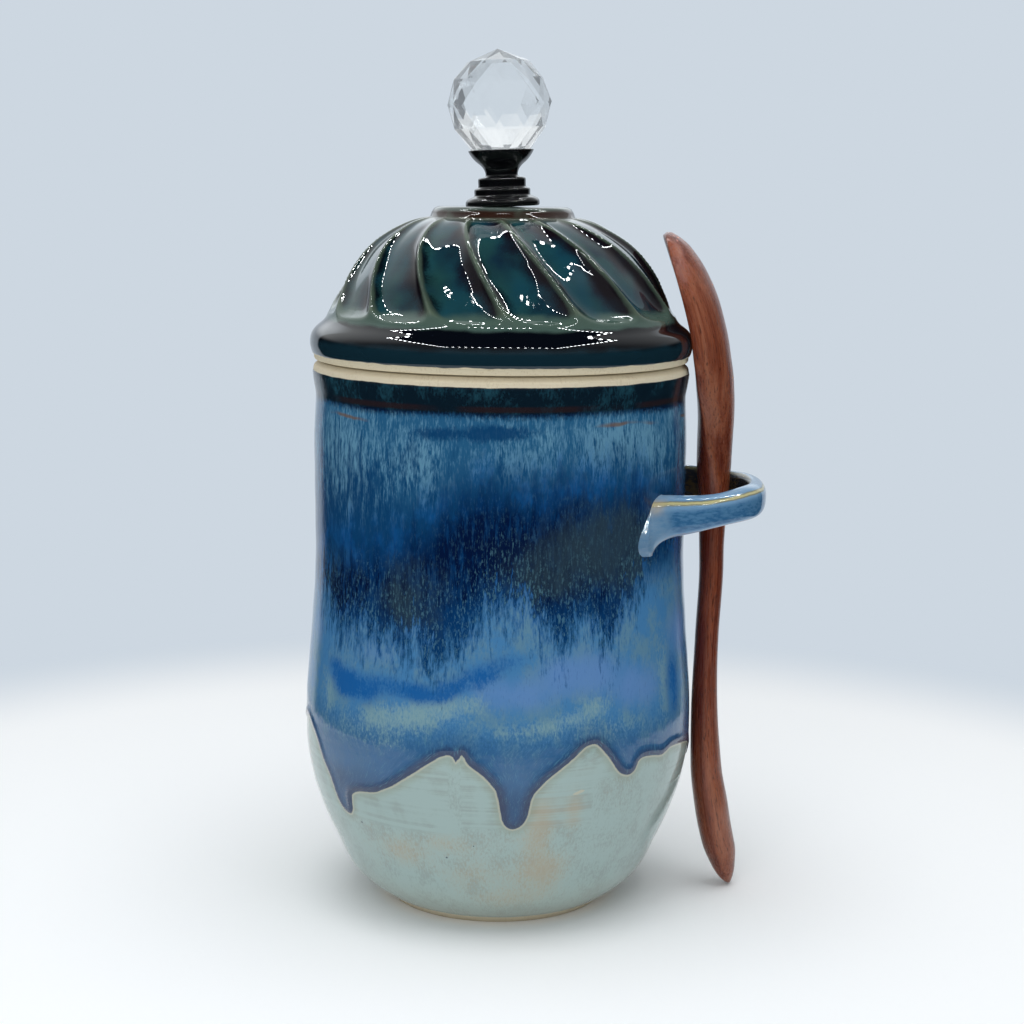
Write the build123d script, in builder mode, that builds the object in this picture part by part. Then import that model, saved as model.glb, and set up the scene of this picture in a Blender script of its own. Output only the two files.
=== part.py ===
from build123d import *

import os
from math import cos, pi, radians, sin, sqrt, tan

# Stoneware honey pot with a fluted lift-off lid, a glass knob and a wooden spoon in a side loop.
# Millimetres, +Z up. The origin is the centre of the foot, on the surface the pot stands on.

# Pot: a thrown cylinder with a low belly, radii measured on the outside
foot_r = 32.3
heel_r, heel_z = 43.6, 9.0  # where the turned foot swings out under the belly
flank_r, flank_z = 53.2, 28.0
belly_r, belly_z = 57.3, 50.0
waist_r, waist_z = 54.2, 104.0
neck_z = 149.5
neck_in = 1.0  # how far the neck lies inside the rim
rim_over = 0.4  # how far the rim stands outside the lid's edge
rim_h = 10.2  # thickened collar above the neck
rim_land = 1.0  # rounding of the rim's outer edge
rim_wall = 5.9
wall = 5.2
floor_t = 7.0

# Lid: a domed cap that sits flat on the rim, with a tapered ring inside the mouth
roll_r, roll_h = 55.2, 7.4  # rounded bead above the edge
edge_in, edge_h = 1.3, 2.7  # straight unglazed edge above the seat, inside the bead
groove_in = 2.9  # how far the groove above the bead lies inside it
shoulder_in, shoulder_h = 1.0, 3.7  # smooth band between the groove and the flutes
dome_r, dome_h = 44.7, 10.0  # a point half way up the side of the dome
brow_r, brow_h = 35.7, 10.2  # where the dome turns over towards the top
crown_r, crown_h = 21.6, 7.0
boss_r, boss_h, boss_round = 20.6, 3.0, 2.2  # raised disc under the knob
lid_wall = 6.0
ring_gap = 0.6  # play of the locating ring in the mouth
ring_depth, ring_t = 7.0, 3.6
ring_taper = 19.5  # degrees, so that the lid can be tipped out sideways

# Flutes: one ball-nosed tool cuts them all, each along a path that winds round the dome
flute_count = 15
flute_tool_r = 14.0
flute_twist = 29.0  # degrees from the top of a flute to its foot
flute_start = 9.0  # degrees, azimuth of one ridge from the front at its foot
# where the tool is along the dome, from the shoulder to the crown, and how deep it cuts there
flute_stops = [(0.88, 0.6), (0.66, 1.5), (0.42, 2.3), (0.20, 2.6)]

# Knob: a tiered metal base with a faceted glass ball, held by a screw from inside the lid
flange_r, flange_h = 10.7, 2.9
tier_low_r, tier_low_h = 8.1, 2.4
tier_top_r, tier_top_h = 6.9, 3.0
stem_r, stem_h = 4.7, 2.2
dish_r, dish_h = 9.5, 5.5
dish_lip = 0.6
cup_depth = 1.0
glass_r = 15.0
glass_facets = 10
glass_base_r = 7.8
glass_lower_r, glass_lower_h = 13.3, 7.2
glass_widest_h = 14.2
glass_upper_r, glass_upper_h = 13.0, 21.0
glass_shoulder_r, glass_shoulder_h = 8.9, 25.9
glass_cap_r, glass_cap_h = 4.3, 27.6
glass_h = 29.4
screw_r = 2.0
screw_head_r, screw_head_h = 4.0, 2.4
screw_slot_w, screw_slot_d = 1.0, 1.2
screw_grip = 9.0  # length held in the knob's thread
thread_gap = 0.05
hole_gap = 0.35
washer_r, washer_t = 6.0, 1.0
gasket_r, gasket_t = 7.2, 1.2
drill_tip = 1.5  # how far the tapped hole runs past the screw

# Spoon loop: a flat strap pulled into a ring and luted to the pot
loop_z = 118.0
loop_clear = 19.6  # free space between the pot and the inside of the loop
loop_half_w, loop_front_half_w = 27.5, 25.0
loop_corner_r = 13.0
loop_rise = 2.0  # degrees
strap_h, strap_t, strap_round = 9.0, 5.8, 2.2
root_h, root_t, root_round = 21.0, 9.5, 4.0
root_reach = 9.0
root_drop = 4.5
root_bury = 4.0

# Spoon: carved in one piece, standing on its tip and leaning on the belly and on the lid's bead
spoon_gap = 0.5  # between the spoon and the belly it leans on
bead_gap = 0.9  # between the bowl's lips and the lid's bead
spoon_turn = 8.0  # degrees, how far behind the middle of the loop the spoon stands
bowl_half_w = 16.5
bowl_lip = 2.0
bowl_depth = 8.0
bowl_hollow_len = 43.0
hollow_up = 4.0  # how far the middle of the hollow lies above the lid's bead
bowl_lean = 11.5  # degrees between the bowl's rim and the upright
tip_gap = 0.3

# Radii that follow from the lid's bead, so that the pot's mouth always fits the lid
edge_r = roll_r - edge_in
groove_r = roll_r - groove_in
shoulder_r = groove_r - shoulder_in
rim_r = edge_r + rim_over
neck_r = rim_r - neck_in
mouth_r = neck_r - rim_wall

# Heights that follow from the sizes above
rim_z = neck_z + rim_h
roll_foot_z = rim_z + edge_h
roll_z = roll_foot_z + roll_h / 2
groove_z = roll_foot_z + roll_h
shoulder_z = groove_z + shoulder_h
dome_z = shoulder_z + dome_h
brow_z = dome_z + brow_h
crown_z = brow_z + crown_h
boss_z = crown_z + boss_h
dish_z = boss_z + flange_h + tier_low_h + tier_top_h + stem_h + dish_h
glass_z = dish_z - cup_depth
ceiling_z = boss_z - lid_wall


# The pot's outside as one solid, used for the pot itself and to trim the loop's roots
with BuildPart() as pot_outside:
    with BuildSketch(Plane.XZ):
        with BuildLine():
            Line((0, 0), (foot_r, 0))
            Spline(
                (foot_r, 0), (heel_r, heel_z), (flank_r, flank_z), (belly_r, belly_z),
                tangents=[(1, 0.72), (0, 1)],
            )
            Spline(
                (belly_r, belly_z), (waist_r, waist_z), (neck_r, neck_z),
                tangents=[(0, 1), (0, 1)],
            )
            Spline(
                (neck_r, neck_z), (rim_r, rim_z - rim_h / 3), (rim_r - rim_land, rim_z),
                tangents=[(0, 1), (-1, 0.4)],
            )
            Line((rim_r - rim_land, rim_z), (0, rim_z))
            Line((0, rim_z), (0, 0))
        make_face()
    revolve(axis=Axis.Z)

with BuildPart() as pot_body:
    add(pot_outside.part)
    with BuildSketch(Plane.XZ):
        with BuildLine():
            Polyline((0, rim_z), (0, floor_t), (foot_r - wall, floor_t))
            Spline(
                (foot_r - wall, floor_t), (flank_r - wall, flank_z), (belly_r - wall, belly_z),
                (waist_r - wall, waist_z), (mouth_r, neck_z),
                tangents=[(1, 0.15), (0, 1)],
            )
            Polyline((mouth_r, neck_z), (mouth_r, rim_z), (0, rim_z))
        make_face()
    revolve(axis=Axis.Z, mode=Mode.SUBTRACT)
pot_body.part.label = "pot_body"


# Lid, turned as one shell: outside, then the hollow, then the flutes and the screw hole
ring_r = mouth_r - ring_gap
ring_foot_r = ring_r - ring_depth * tan(radians(ring_taper))
hollow_r = ring_foot_r - ring_t

# the dome's profile, radius along X and height along Y
with BuildLine() as dome_line:
    Spline(
        (shoulder_r, shoulder_z), (dome_r, dome_z), (brow_r, brow_z), (crown_r, crown_z),
        tangents=[(-0.5, 1), (-1, 0.2)],
    )

# the tool's centre runs outside the dome, so that the ridges between the cuts stay on it
flute_points = []
for along, depth in flute_stops:
    on_dome = dome_line.line @ along
    up_dome = dome_line.line % along
    centre = on_dome + Vector(up_dome.Y, -up_dome.X) * (flute_tool_r - depth)
    turn = radians(-90 + flute_start + 180 / flute_count - flute_twist * along)
    flute_points.append((centre.X * cos(turn), centre.X * sin(turn), centre.Y))

with BuildPart() as flute_cut:
    with BuildLine() as flute_path:
        Spline(*flute_points)
    with BuildSketch(Plane(origin=flute_path.line @ 0, z_dir=flute_path.line % 0)):
        Circle(flute_tool_r)
    sweep()
    with Locations(flute_points[0], flute_points[-1]):
        Sphere(flute_tool_r)

with BuildPart() as lid:
    with BuildSketch(Plane.XZ):
        with BuildLine():
            Polyline(
                (hollow_r, rim_z), (hollow_r, rim_z - ring_depth),
                (ring_foot_r, rim_z - ring_depth), (ring_r, rim_z),
                (edge_r - rim_land, rim_z), (edge_r, rim_z + rim_land), (edge_r, roll_foot_z),
            )
            TangentArc((roll_r, roll_z), (edge_r, roll_foot_z), tangent=(0, -1))
            TangentArc((roll_r, roll_z), (groove_r, groove_z), tangent=(0, 1))
            Line((groove_r, groove_z), (shoulder_r, shoulder_z))
            add(dome_line.line)
            Polyline(
                (crown_r, crown_z), (boss_r, crown_z), (boss_r, boss_z), (0, boss_z),
                (0, ceiling_z), (crown_r - lid_wall, ceiling_z),
            )
            Spline(
                (crown_r - lid_wall, ceiling_z), (dome_r - lid_wall, dome_z), (hollow_r, rim_z),
                tangents=[(1, -0.15), (0, -1)],
            )
        make_face()
    revolve(axis=Axis.Z)
    boss_edge = lid.edges().filter_by(GeomType.CIRCLE).group_by(Axis.Z)[-1]
    fillet(boss_edge, boss_round)
    with PolarLocations(0, flute_count):
        add(flute_cut.part, mode=Mode.SUBTRACT)
    with Locations((0, 0, boss_z)):
        Hole(screw_r + hole_gap)
lid.part.label = "lid"


# Knob base: a cast metal spindle, tapped from below and cupped for the glass on top
tier_low_z = boss_z + flange_h
tier_top_z = tier_low_z + tier_low_h
stem_z = tier_top_z + tier_top_h
dish_foot_z = stem_z + stem_h
screw_under_z = ceiling_z - gasket_t - washer_t
screw_end_z = boss_z + screw_grip

with BuildPart() as knob_base:
    with BuildSketch(Plane.XZ):
        with BuildLine():
            Line((0, boss_z), (flange_r, boss_z))
            Spline(
                (flange_r, boss_z), (flange_r - 0.7, boss_z + 0.62 * flange_h),
                (tier_low_r, tier_low_z),
                tangents=[(0.1, 1), (-1, 0.05)],
            )
            Line((tier_low_r, tier_low_z), (tier_low_r, tier_top_z))
            Line((tier_low_r, tier_top_z), (tier_top_r, tier_top_z))
            Line((tier_top_r, tier_top_z), (tier_top_r, stem_z))
            Line((tier_top_r, stem_z), (stem_r + 0.4, stem_z))
            Spline(
                (stem_r + 0.4, stem_z), (stem_r, dish_foot_z), (dish_r, dish_z - dish_lip),
                tangents=[(-0.3, 1), (0.7, 1)],
            )
            Line((dish_r, dish_z - dish_lip), (dish_r, dish_z))
            Line((dish_r, dish_z), (glass_base_r + cup_depth, dish_z))
            Line((glass_base_r + cup_depth, dish_z), (glass_base_r + cup_depth, glass_z))
            Line((glass_base_r + cup_depth, glass_z), (0, glass_z))
            Line((0, glass_z), (0, boss_z))
        make_face()
    revolve(axis=Axis.Z)
    with Locations(Plane(origin=(0, 0, boss_z), z_dir=(0, 0, -1))):
        Hole(screw_r + thread_gap, depth=screw_grip + drill_tip)
knob_base.part.label = "knob_base"


# Glass ball: the hull of rings of corners, each ring turned half a facet from the next
glass_rings = [
    (glass_base_r, 0),
    (glass_lower_r, glass_lower_h),
    (glass_r, glass_widest_h),
    (glass_upper_r, glass_upper_h),
    (glass_shoulder_r, glass_shoulder_h),
    (glass_cap_r, glass_cap_h),
]
glass_corners = [(0, 0, glass_z + glass_h)]
for ring, (corner_r, corner_h) in enumerate(glass_rings):
    for facet in range(glass_facets):
        turn = 2 * pi * (facet + ring / 2) / glass_facets
        glass_corners.append((corner_r * cos(turn), corner_r * sin(turn), glass_z + corner_h))
with BuildPart() as knob_crystal:
    ConvexPolyhedron(glass_corners)
knob_crystal.part.label = "knob_crystal"


# Fastening under the lid: rubber gasket, steel washer, slotted screw
with BuildPart() as knob_gasket:
    with BuildSketch(Plane.XY.offset(ceiling_z - gasket_t)):
        Circle(gasket_r)
        Circle(screw_r + hole_gap, mode=Mode.SUBTRACT)
    extrude(amount=gasket_t)
knob_gasket.part.label = "knob_gasket"

with BuildPart() as knob_washer:
    with BuildSketch(Plane.XY.offset(screw_under_z)):
        Circle(washer_r)
        Circle(screw_r + hole_gap, mode=Mode.SUBTRACT)
    extrude(amount=washer_t)
knob_washer.part.label = "knob_washer"

with BuildPart() as knob_screw:
    with BuildSketch(Plane.XY.offset(screw_under_z)):
        Circle(screw_head_r)
    extrude(amount=-screw_head_h)
    fillet(knob_screw.edges().sort_by(Axis.Z)[0], 0.6 * screw_head_h)
    with BuildSketch(Plane.XY.offset(screw_under_z)):
        Circle(screw_r)
    extrude(amount=screw_end_z - screw_under_z)
    with BuildSketch(Plane.XY.offset(screw_under_z - screw_head_h)):
        Rectangle(2 * screw_head_r, screw_slot_w)
    extrude(amount=screw_slot_d, mode=Mode.SUBTRACT)
knob_screw.part.label = "knob_screw"


# Spoon loop: the strap runs round a flat U, and each root swells where it meets the pot
loop_far_x = waist_r + loop_clear + strap_t / 2
root_x = sqrt(waist_r**2 - loop_half_w**2)
strand_x = root_x + root_reach
loop_plane = Plane(
    origin=(0, 0, loop_z),
    x_dir=(cos(radians(loop_rise)), 0, sin(radians(loop_rise))),
    z_dir=(-sin(radians(loop_rise)), 0, cos(radians(loop_rise))),
)
with BuildPart() as spoon_loop:
    with BuildLine(loop_plane) as loop_path:
        FilletPolyline(
            (strand_x, -loop_half_w), (loop_far_x, -loop_front_half_w),
            (loop_far_x, loop_front_half_w), (strand_x, loop_half_w),
            radius=loop_corner_r,
        )
    with BuildSketch(Plane(origin=loop_path.line @ 0, x_dir=(0, 0, 1), z_dir=loop_path.line % 0)):
        RectangleRounded(strap_h, strap_t, strap_round)
    sweep()
    for end, inward in ((0, -1), (1, 1)):
        strand_end = loop_path.line @ end
        strand_dir = (loop_path.line % end) * inward
        root_end = strand_end + strand_dir * (root_reach + root_bury)
        swell = strand_end + strand_dir * (0.55 * root_reach)
        with BuildSketch(Plane(origin=strand_end, x_dir=(0, 0, 1), z_dir=strand_dir)):
            RectangleRounded(strap_h, strap_t, strap_round)
        with BuildSketch(
            Plane(origin=swell - (0, 0, root_drop / 5), x_dir=(0, 0, 1), z_dir=strand_dir)
        ):
            RectangleRounded(
                strap_h + 0.2 * (root_h - strap_h), strap_t + 0.2 * (root_t - strap_t),
                strap_round + 0.2 * (root_round - strap_round),
            )
        with BuildSketch(
            Plane(origin=root_end - (0, 0, root_drop), x_dir=(0, 0, 1), z_dir=strand_dir)
        ):
            RectangleRounded(root_h, root_t, root_round)
        loft()
    add(pot_outside.part, mode=Mode.SUBTRACT)
spoon_loop.part.label = "spoon_loop"


# Spoon: horizontal sections of two half ellipses, flat in front where the bowl is
# The front of each section is set from a line that leans on the belly and on the lid's bead
bowl_half_in = bowl_half_w - bowl_lip
lean_low = (belly_r + spoon_gap, belly_z)
lean_high = (sqrt((roll_r + bead_gap) ** 2 - bowl_half_in**2), roll_z)
lean_slope = (lean_high[0] - lean_low[0]) / (lean_high[1] - lean_low[1])


def lean_x(height):
    return lean_low[0] + lean_slope * (height - lean_low[1])


# height, front edge outward of the leaning line, thickness, half width, share in front
rim_slope = -tan(radians(bowl_lean)) - lean_slope
spoon_sections = [
    (tip_gap, 9.9, 1.6, 1.2, 0.5),
    (tip_gap + 1.8, 8.0, 4.2, 3.0, 0.5),
    (tip_gap + 5.6, 5.7, 7.2, 5.0, 0.5),
    (tip_gap + 12.5, 3.0, 9.9, 6.8, 0.5),
    (tip_gap + 23.5, 1.0, 10.2, 7.5, 0.5),
    (belly_z - 12.5, -0.1, 9.3, 7.0, 0.5),
    (belly_z + 2.5, 0.2, 8.1, 6.2, 0.5),
    (0.6 * belly_z + 0.4 * loop_z, 1.8, 7.0, 5.6, 0.5),
    (0.25 * belly_z + 0.75 * loop_z, 3.4, 7.2, 5.5, 0.5),
    (loop_z, 3.4, 8.5, 6.0, 0.5),
    (loop_z + 12.0, 2.9, 10.2, 8.0, 0.42),
    (roll_z - 24.0, 2.7, 11.1, 11.0, 0.2),
    (roll_z - 12.0, -12.0 * rim_slope, 11.4, 14.6, 0.06),
    (roll_z, 0, 11.6, bowl_half_w, 0.04),
    (roll_z + 11.0, 11.0 * rim_slope, 10.8, 0.95 * bowl_half_w, 0.04),
    (roll_z + 20.0, 20.0 * rim_slope - 0.4, 9.5, 0.76 * bowl_half_w, 0.06),
    (roll_z + 26.5, 26.5 * rim_slope - 0.9, 7.0, 0.49 * bowl_half_w, 0.15),
    (roll_z + 29.8, 30.0 * rim_slope - 0.9, 3.6, 0.22 * bowl_half_w, 0.3),
    (roll_z + 30.7, 31.0 * rim_slope + 0.4, 1.5, 0.08 * bowl_half_w, 0.5),
]
hollow_tool_r = (bowl_half_in**2 + bowl_depth**2) / (2 * bowl_depth)
hollow_axis_x = bowl_depth - hollow_tool_r
hollow_mid_z = roll_z + hollow_up
lean = radians(bowl_lean)
hollow_plane = Plane(
    origin=(lean_x(hollow_mid_z) + hollow_up * rim_slope, 0, hollow_mid_z),
    x_dir=(cos(lean), 0, sin(lean)),
    z_dir=(0, -1, 0),
)

with BuildPart() as straight_spoon:
    for height, front, thick, half_w, front_share in spoon_sections:
        seam_x = lean_x(height) + front + thick * front_share
        back = thick * (1 - front_share)
        with BuildSketch(Plane.XY.offset(height)):
            with BuildLine():
                EllipticalCenterArc((seam_x, 0), back, half_w, start_angle=-90, arc_size=180)
                EllipticalCenterArc(
                    (seam_x, 0), thick - back, half_w, start_angle=90, arc_size=180
                )
            make_face()
    loft()
    # the hollow: a barrel-shaped tool laid along the bowl's rim
    with BuildSketch(hollow_plane):
        with BuildLine():
            ThreePointArc(
                (0, -bowl_hollow_len / 2), (bowl_depth, 0), (0, bowl_hollow_len / 2)
            )
            Polyline(
                (0, bowl_hollow_len / 2), (hollow_axis_x, bowl_hollow_len / 2),
                (hollow_axis_x, -bowl_hollow_len / 2), (0, -bowl_hollow_len / 2),
            )
        make_face()
    hollow_axis = Axis(hollow_plane.from_local_coords((hollow_axis_x, 0, 0)), hollow_plane.y_dir)
    revolve(axis=hollow_axis, mode=Mode.SUBTRACT)

# turned round the pot's axis, it still leans on the belly and on the bead
with BuildPart() as spoon:
    add(straight_spoon.part, rotation=(0, 0, spoon_turn))
spoon.part.label = "spoon"

os.makedirs("parts", exist_ok=True)
for piece in (
    pot_body, spoon_loop, lid, knob_base, knob_crystal, knob_screw, knob_washer, knob_gasket, spoon,
):
    export_step(piece.part, f"parts/{piece.part.label}.step")
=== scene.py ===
import math
import bpy
import numpy as np
from mathutils import Euler, Matrix, Vector


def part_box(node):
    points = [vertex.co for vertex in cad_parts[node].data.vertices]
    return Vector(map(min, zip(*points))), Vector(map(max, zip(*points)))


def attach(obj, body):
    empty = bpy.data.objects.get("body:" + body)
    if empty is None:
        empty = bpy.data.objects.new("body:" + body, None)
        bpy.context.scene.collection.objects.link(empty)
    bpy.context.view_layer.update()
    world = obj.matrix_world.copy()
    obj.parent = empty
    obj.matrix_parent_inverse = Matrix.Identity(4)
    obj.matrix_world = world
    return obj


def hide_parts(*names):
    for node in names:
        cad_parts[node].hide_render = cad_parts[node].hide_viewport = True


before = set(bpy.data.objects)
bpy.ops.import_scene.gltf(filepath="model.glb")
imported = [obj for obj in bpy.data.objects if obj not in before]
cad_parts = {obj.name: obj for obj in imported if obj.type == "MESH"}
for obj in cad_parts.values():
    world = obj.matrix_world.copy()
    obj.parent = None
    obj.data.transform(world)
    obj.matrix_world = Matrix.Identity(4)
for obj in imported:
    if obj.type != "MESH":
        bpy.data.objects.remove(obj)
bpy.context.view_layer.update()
mm = 0.001
print("frame loaded:", ", ".join(sorted(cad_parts)))


# shader helpers

def linear(hexColour):
    # "#rrggbb" as screens show it, to the linear values that shaders take
    parts = [int(hexColour[i:i + 2], 16) / 255 for i in (1, 3, 5)]
    return (*[p / 12.92 if p <= 0.04045 else ((p + 0.055) / 1.055) ** 2.4 for p in parts], 1.0)


def palette(colours):
    return {name: linear(colour) for name, colour in colours.items()}


class Value:
    # a number socket that adds and multiplies like a plain number

    def __init__(self, finish, socket):
        self.finish = finish
        self.socket = socket

    def math(self, operation, *numbers):
        return self.finish.node("ShaderNodeMath", {"operation": operation}, dict(enumerate(numbers)))

    def __add__(self, other):
        return self.math("ADD", self, other)

    def __sub__(self, other):
        return self.math("SUBTRACT", self, other)

    def __rsub__(self, other):
        return self.math("SUBTRACT", other, self)

    def __mul__(self, other):
        return self.math("MULTIPLY", self, other)

    def __truediv__(self, other):
        return self.math("DIVIDE", self, other)

    def __abs__(self):
        return self.math("ABSOLUTE", self)

    __radd__ = __add__
    __rmul__ = __mul__


class Finish:
    # one node tree: a material's, or the world's

    def __init__(self, owner):
        self.owner = owner
        owner.use_nodes = True
        self.tree = owner.node_tree
        self.tree.nodes.clear()

    def node(self, kind, settings=None, inputs=None, output=0):
        made = self.tree.nodes.new(kind)
        for name, value in (settings or {}).items():
            setattr(made, name, value)
        for name, value in (inputs or {}).items():
            if isinstance(value, Value):
                self.tree.links.new(value.socket, made.inputs[name])
            else:
                made.inputs[name].default_value = value
        if not made.outputs:
            return made
        return Value(self, made.outputs[output])

    def attribute(self, name, output="Fac"):
        return self.node("ShaderNodeAttribute", {"attribute_name": name}, output=output)

    def place(self):
        # where a point lies on the piece, in millimetres
        metres = self.node("ShaderNodeTexCoord", output="Object")
        return self.node("ShaderNodeVectorMath", {"operation": "SCALE"}, {0: metres, "Scale": 1 / mm})

    def part(self, vector, axis):
        return self.node("ShaderNodeSeparateXYZ", inputs={0: vector}, output=axis)

    def squeeze(self, vector, x, y, z):
        return self.node("ShaderNodeVectorMath", {"operation": "MULTIPLY"}, {0: vector, 1: (x, y, z)})

    def noise(self, vector, size, detail=3.0, rough=0.5, warp=0.0):
        # size is the width of one blotch, in millimetres
        return self.node(
            "ShaderNodeTexNoise", {"noise_dimensions": "3D"},
            {"Vector": vector, "Scale": 1 / size, "Detail": detail, "Roughness": rough, "Distortion": warp},
        )

    def ramp(self, value, low, high):
        # 0 below low, 1 above high, eased between
        return self.node(
            "ShaderNodeMapRange", {"interpolation_type": "SMOOTHSTEP"},
            {"Value": value, "From Min": low, "From Max": high},
        )

    def mix(self, mask, under, over):
        return self.node(
            "ShaderNodeMix", {"data_type": "RGBA"}, {0: mask, 6: under, 7: over}, output=2,
        )

    def bump(self, height, strength, depth):
        settings = {"Strength": strength, "Distance": depth, "Height": height}
        return self.node("ShaderNodeBump", inputs=settings)

    def surface(self, inputs):
        shader = self.node("ShaderNodeBsdfPrincipled", inputs=inputs)
        self.node("ShaderNodeOutputMaterial", inputs={"Surface": shader})
        return self.owner


def newFinish(name):
    return Finish(bpy.data.materials.new(name))


# mesh helpers

def smoothLine(knots, steps=24):
    # a curve through the knots (radius, height[, direction])
    # its direction at a knot is the one given, or follows the knot's neighbours
    places = [Vector(k[:2]) for k in knots]
    ways = []
    for i, knot in enumerate(knots):
        if len(knot) > 2:
            way = Vector(knot[2])
        else:
            way = places[min(i + 1, len(places) - 1)] - places[max(i - 1, 0)]
        ways.append(way.normalized())
    line = [places[0]]
    for i in range(len(places) - 1):
        chord = (places[i + 1] - places[i]).length
        for step in range(1, steps + 1):
            t = step / steps
            a = 2 * t**3 - 3 * t**2 + 1
            b = t**3 - 2 * t**2 + t
            c = 3 * t**2 - 2 * t**3
            d = t**3 - t**2
            line.append(places[i] * a + ways[i] * (b * chord)
                        + places[i + 1] * c + ways[i + 1] * (d * chord))
    return np.array([tuple(p) for p in line])


def evenly(line, count, density=None):
    # count points along a line, closer together where density is higher
    lengths = np.linalg.norm(np.diff(line, axis=0), axis=1)
    if density is not None:
        middle = (line[1:] + line[:-1]) / 2
        lengths = lengths * np.array([density(p) for p in middle])
    travel = np.concatenate([[0], np.cumsum(lengths)])
    want = np.linspace(0, travel[-1], count)
    return np.stack([np.interp(want, travel, line[:, i]) for i in range(line.shape[1])], axis=1)


def gridPiece(name, rows, loop=False, caps=False, values=None):
    # a closed skin over rows of points, in millimetres
    # the last row joins the first, or each end is closed to a point at its centre
    rowCount, across = rows.shape[:2]
    points = rows.reshape(-1, 3)
    first = np.arange(rowCount if loop else rowCount - 1)[:, None] * across + np.arange(across)
    right = np.roll(first, -1, axis=1)
    up = (first + across) % (rowCount * across)
    upRight = (right + across) % (rowCount * across)
    faces = np.stack([first, right, upRight, up], axis=2).reshape(-1, 4).tolist()
    if caps:
        ends = [rows[0].mean(axis=0), rows[-1].mean(axis=0)]
        points = np.concatenate([points, ends])
        low, high = rowCount * across, rowCount * across + 1
        last = (rowCount - 1) * across
        for j in range(across):
            k = (j + 1) % across
            faces.append([low, k, j])
            faces.append([high, last + j, last + k])
    mesh = bpy.data.meshes.new(name)
    mesh.from_pydata((points * mm).tolist(), [], faces)
    for label, data in (values or {}).items():
        data = np.asarray(data, np.float32)
        kind = "FLOAT_VECTOR" if data.ndim == 3 else "FLOAT"
        if caps:
            flat = data.reshape(rowCount * across, -1)
            data = np.concatenate([flat, flat[:1], flat[-1:]])
        made = mesh.attributes.new(label, kind, "POINT")
        made.data.foreach_set("vector" if kind == "FLOAT_VECTOR" else "value", data.ravel())
    mesh.update()
    volume = sum(p.center.dot(p.normal) * p.area for p in mesh.polygons)
    if volume < 0:
        mesh.flip_normals()
    mesh.shade_smooth()
    piece = bpy.data.objects.new(name, mesh)
    bpy.context.scene.collection.objects.link(piece)
    return piece


def unitSteps(line):
    # the direction of a line at each of its points
    steps = np.gradient(line, axis=0)
    return steps / np.linalg.norm(steps, axis=1, keepdims=True)


def turned(line, columns):
    # a (radius, height) line turned round the pot's axis
    # azimuth 0 is the front, and 90 degrees is the spoon's side
    radius = line[:, :1]
    return np.stack(
        [radius * np.sin(columns), -radius * np.cos(columns), line[:, 1:] + 0 * columns], axis=2,
    )


def eased(value, low, high):
    t = np.clip((value - low) / (high - low), 0, 1)
    return t * t * (3 - 2 * t)


def roundLine(points, columns):
    # heights given at a few azimuths, in degrees, read all the way round by a smooth line
    knots = [(a - 360, h) for a, h in points[-2:]] + list(points) + [(a + 360, h) for a, h in points[:2]]
    line = smoothLine(knots, steps=12)
    return np.interp((np.degrees(columns) - points[0][0]) % 360 + points[0][0], line[:, 0], line[:, 1])


# camera

# how far round from the front, towards the spoon, the pot is looked at
# what is painted on the pot turns along with it
viewTurn = math.radians(6.0)
viewpoint = {
    "distance": 596.0,
    "height": 212.7,
    "side": 3.6,
    "pitch": 9.35,
    "roll": 0.62,
    "lens": 72.0,
    "sensor": 36.0,
}


def fromView(x, y, z):
    # a place given as the camera sees it, x to the right and y away, in metres
    c, t = math.cos(viewTurn), math.sin(viewTurn)
    return Vector((x * c - y * t, x * t + y * c, z)) * mm


def setCamera():
    data = bpy.data.cameras.new("camera")
    data.lens = viewpoint["lens"]
    data.sensor_width = viewpoint["sensor"]
    camera = bpy.data.objects.new("camera", data)
    camera.location = fromView(viewpoint["side"], -viewpoint["distance"], viewpoint["height"])
    aim = Euler((math.radians(90 - viewpoint["pitch"]), 0, viewTurn)).to_matrix()
    camera.rotation_euler = (aim @ Matrix.Rotation(math.radians(viewpoint["roll"]), 3, "Z")).to_euler()
    bpy.context.scene.collection.objects.link(camera)
    bpy.context.scene.camera = camera
    bpy.context.scene.view_settings.view_transform = "Standard"


setCamera()
print("camera set")


# studio: a pale sweep, soft light all round, and a dim room in front that the glaze reflects

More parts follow.
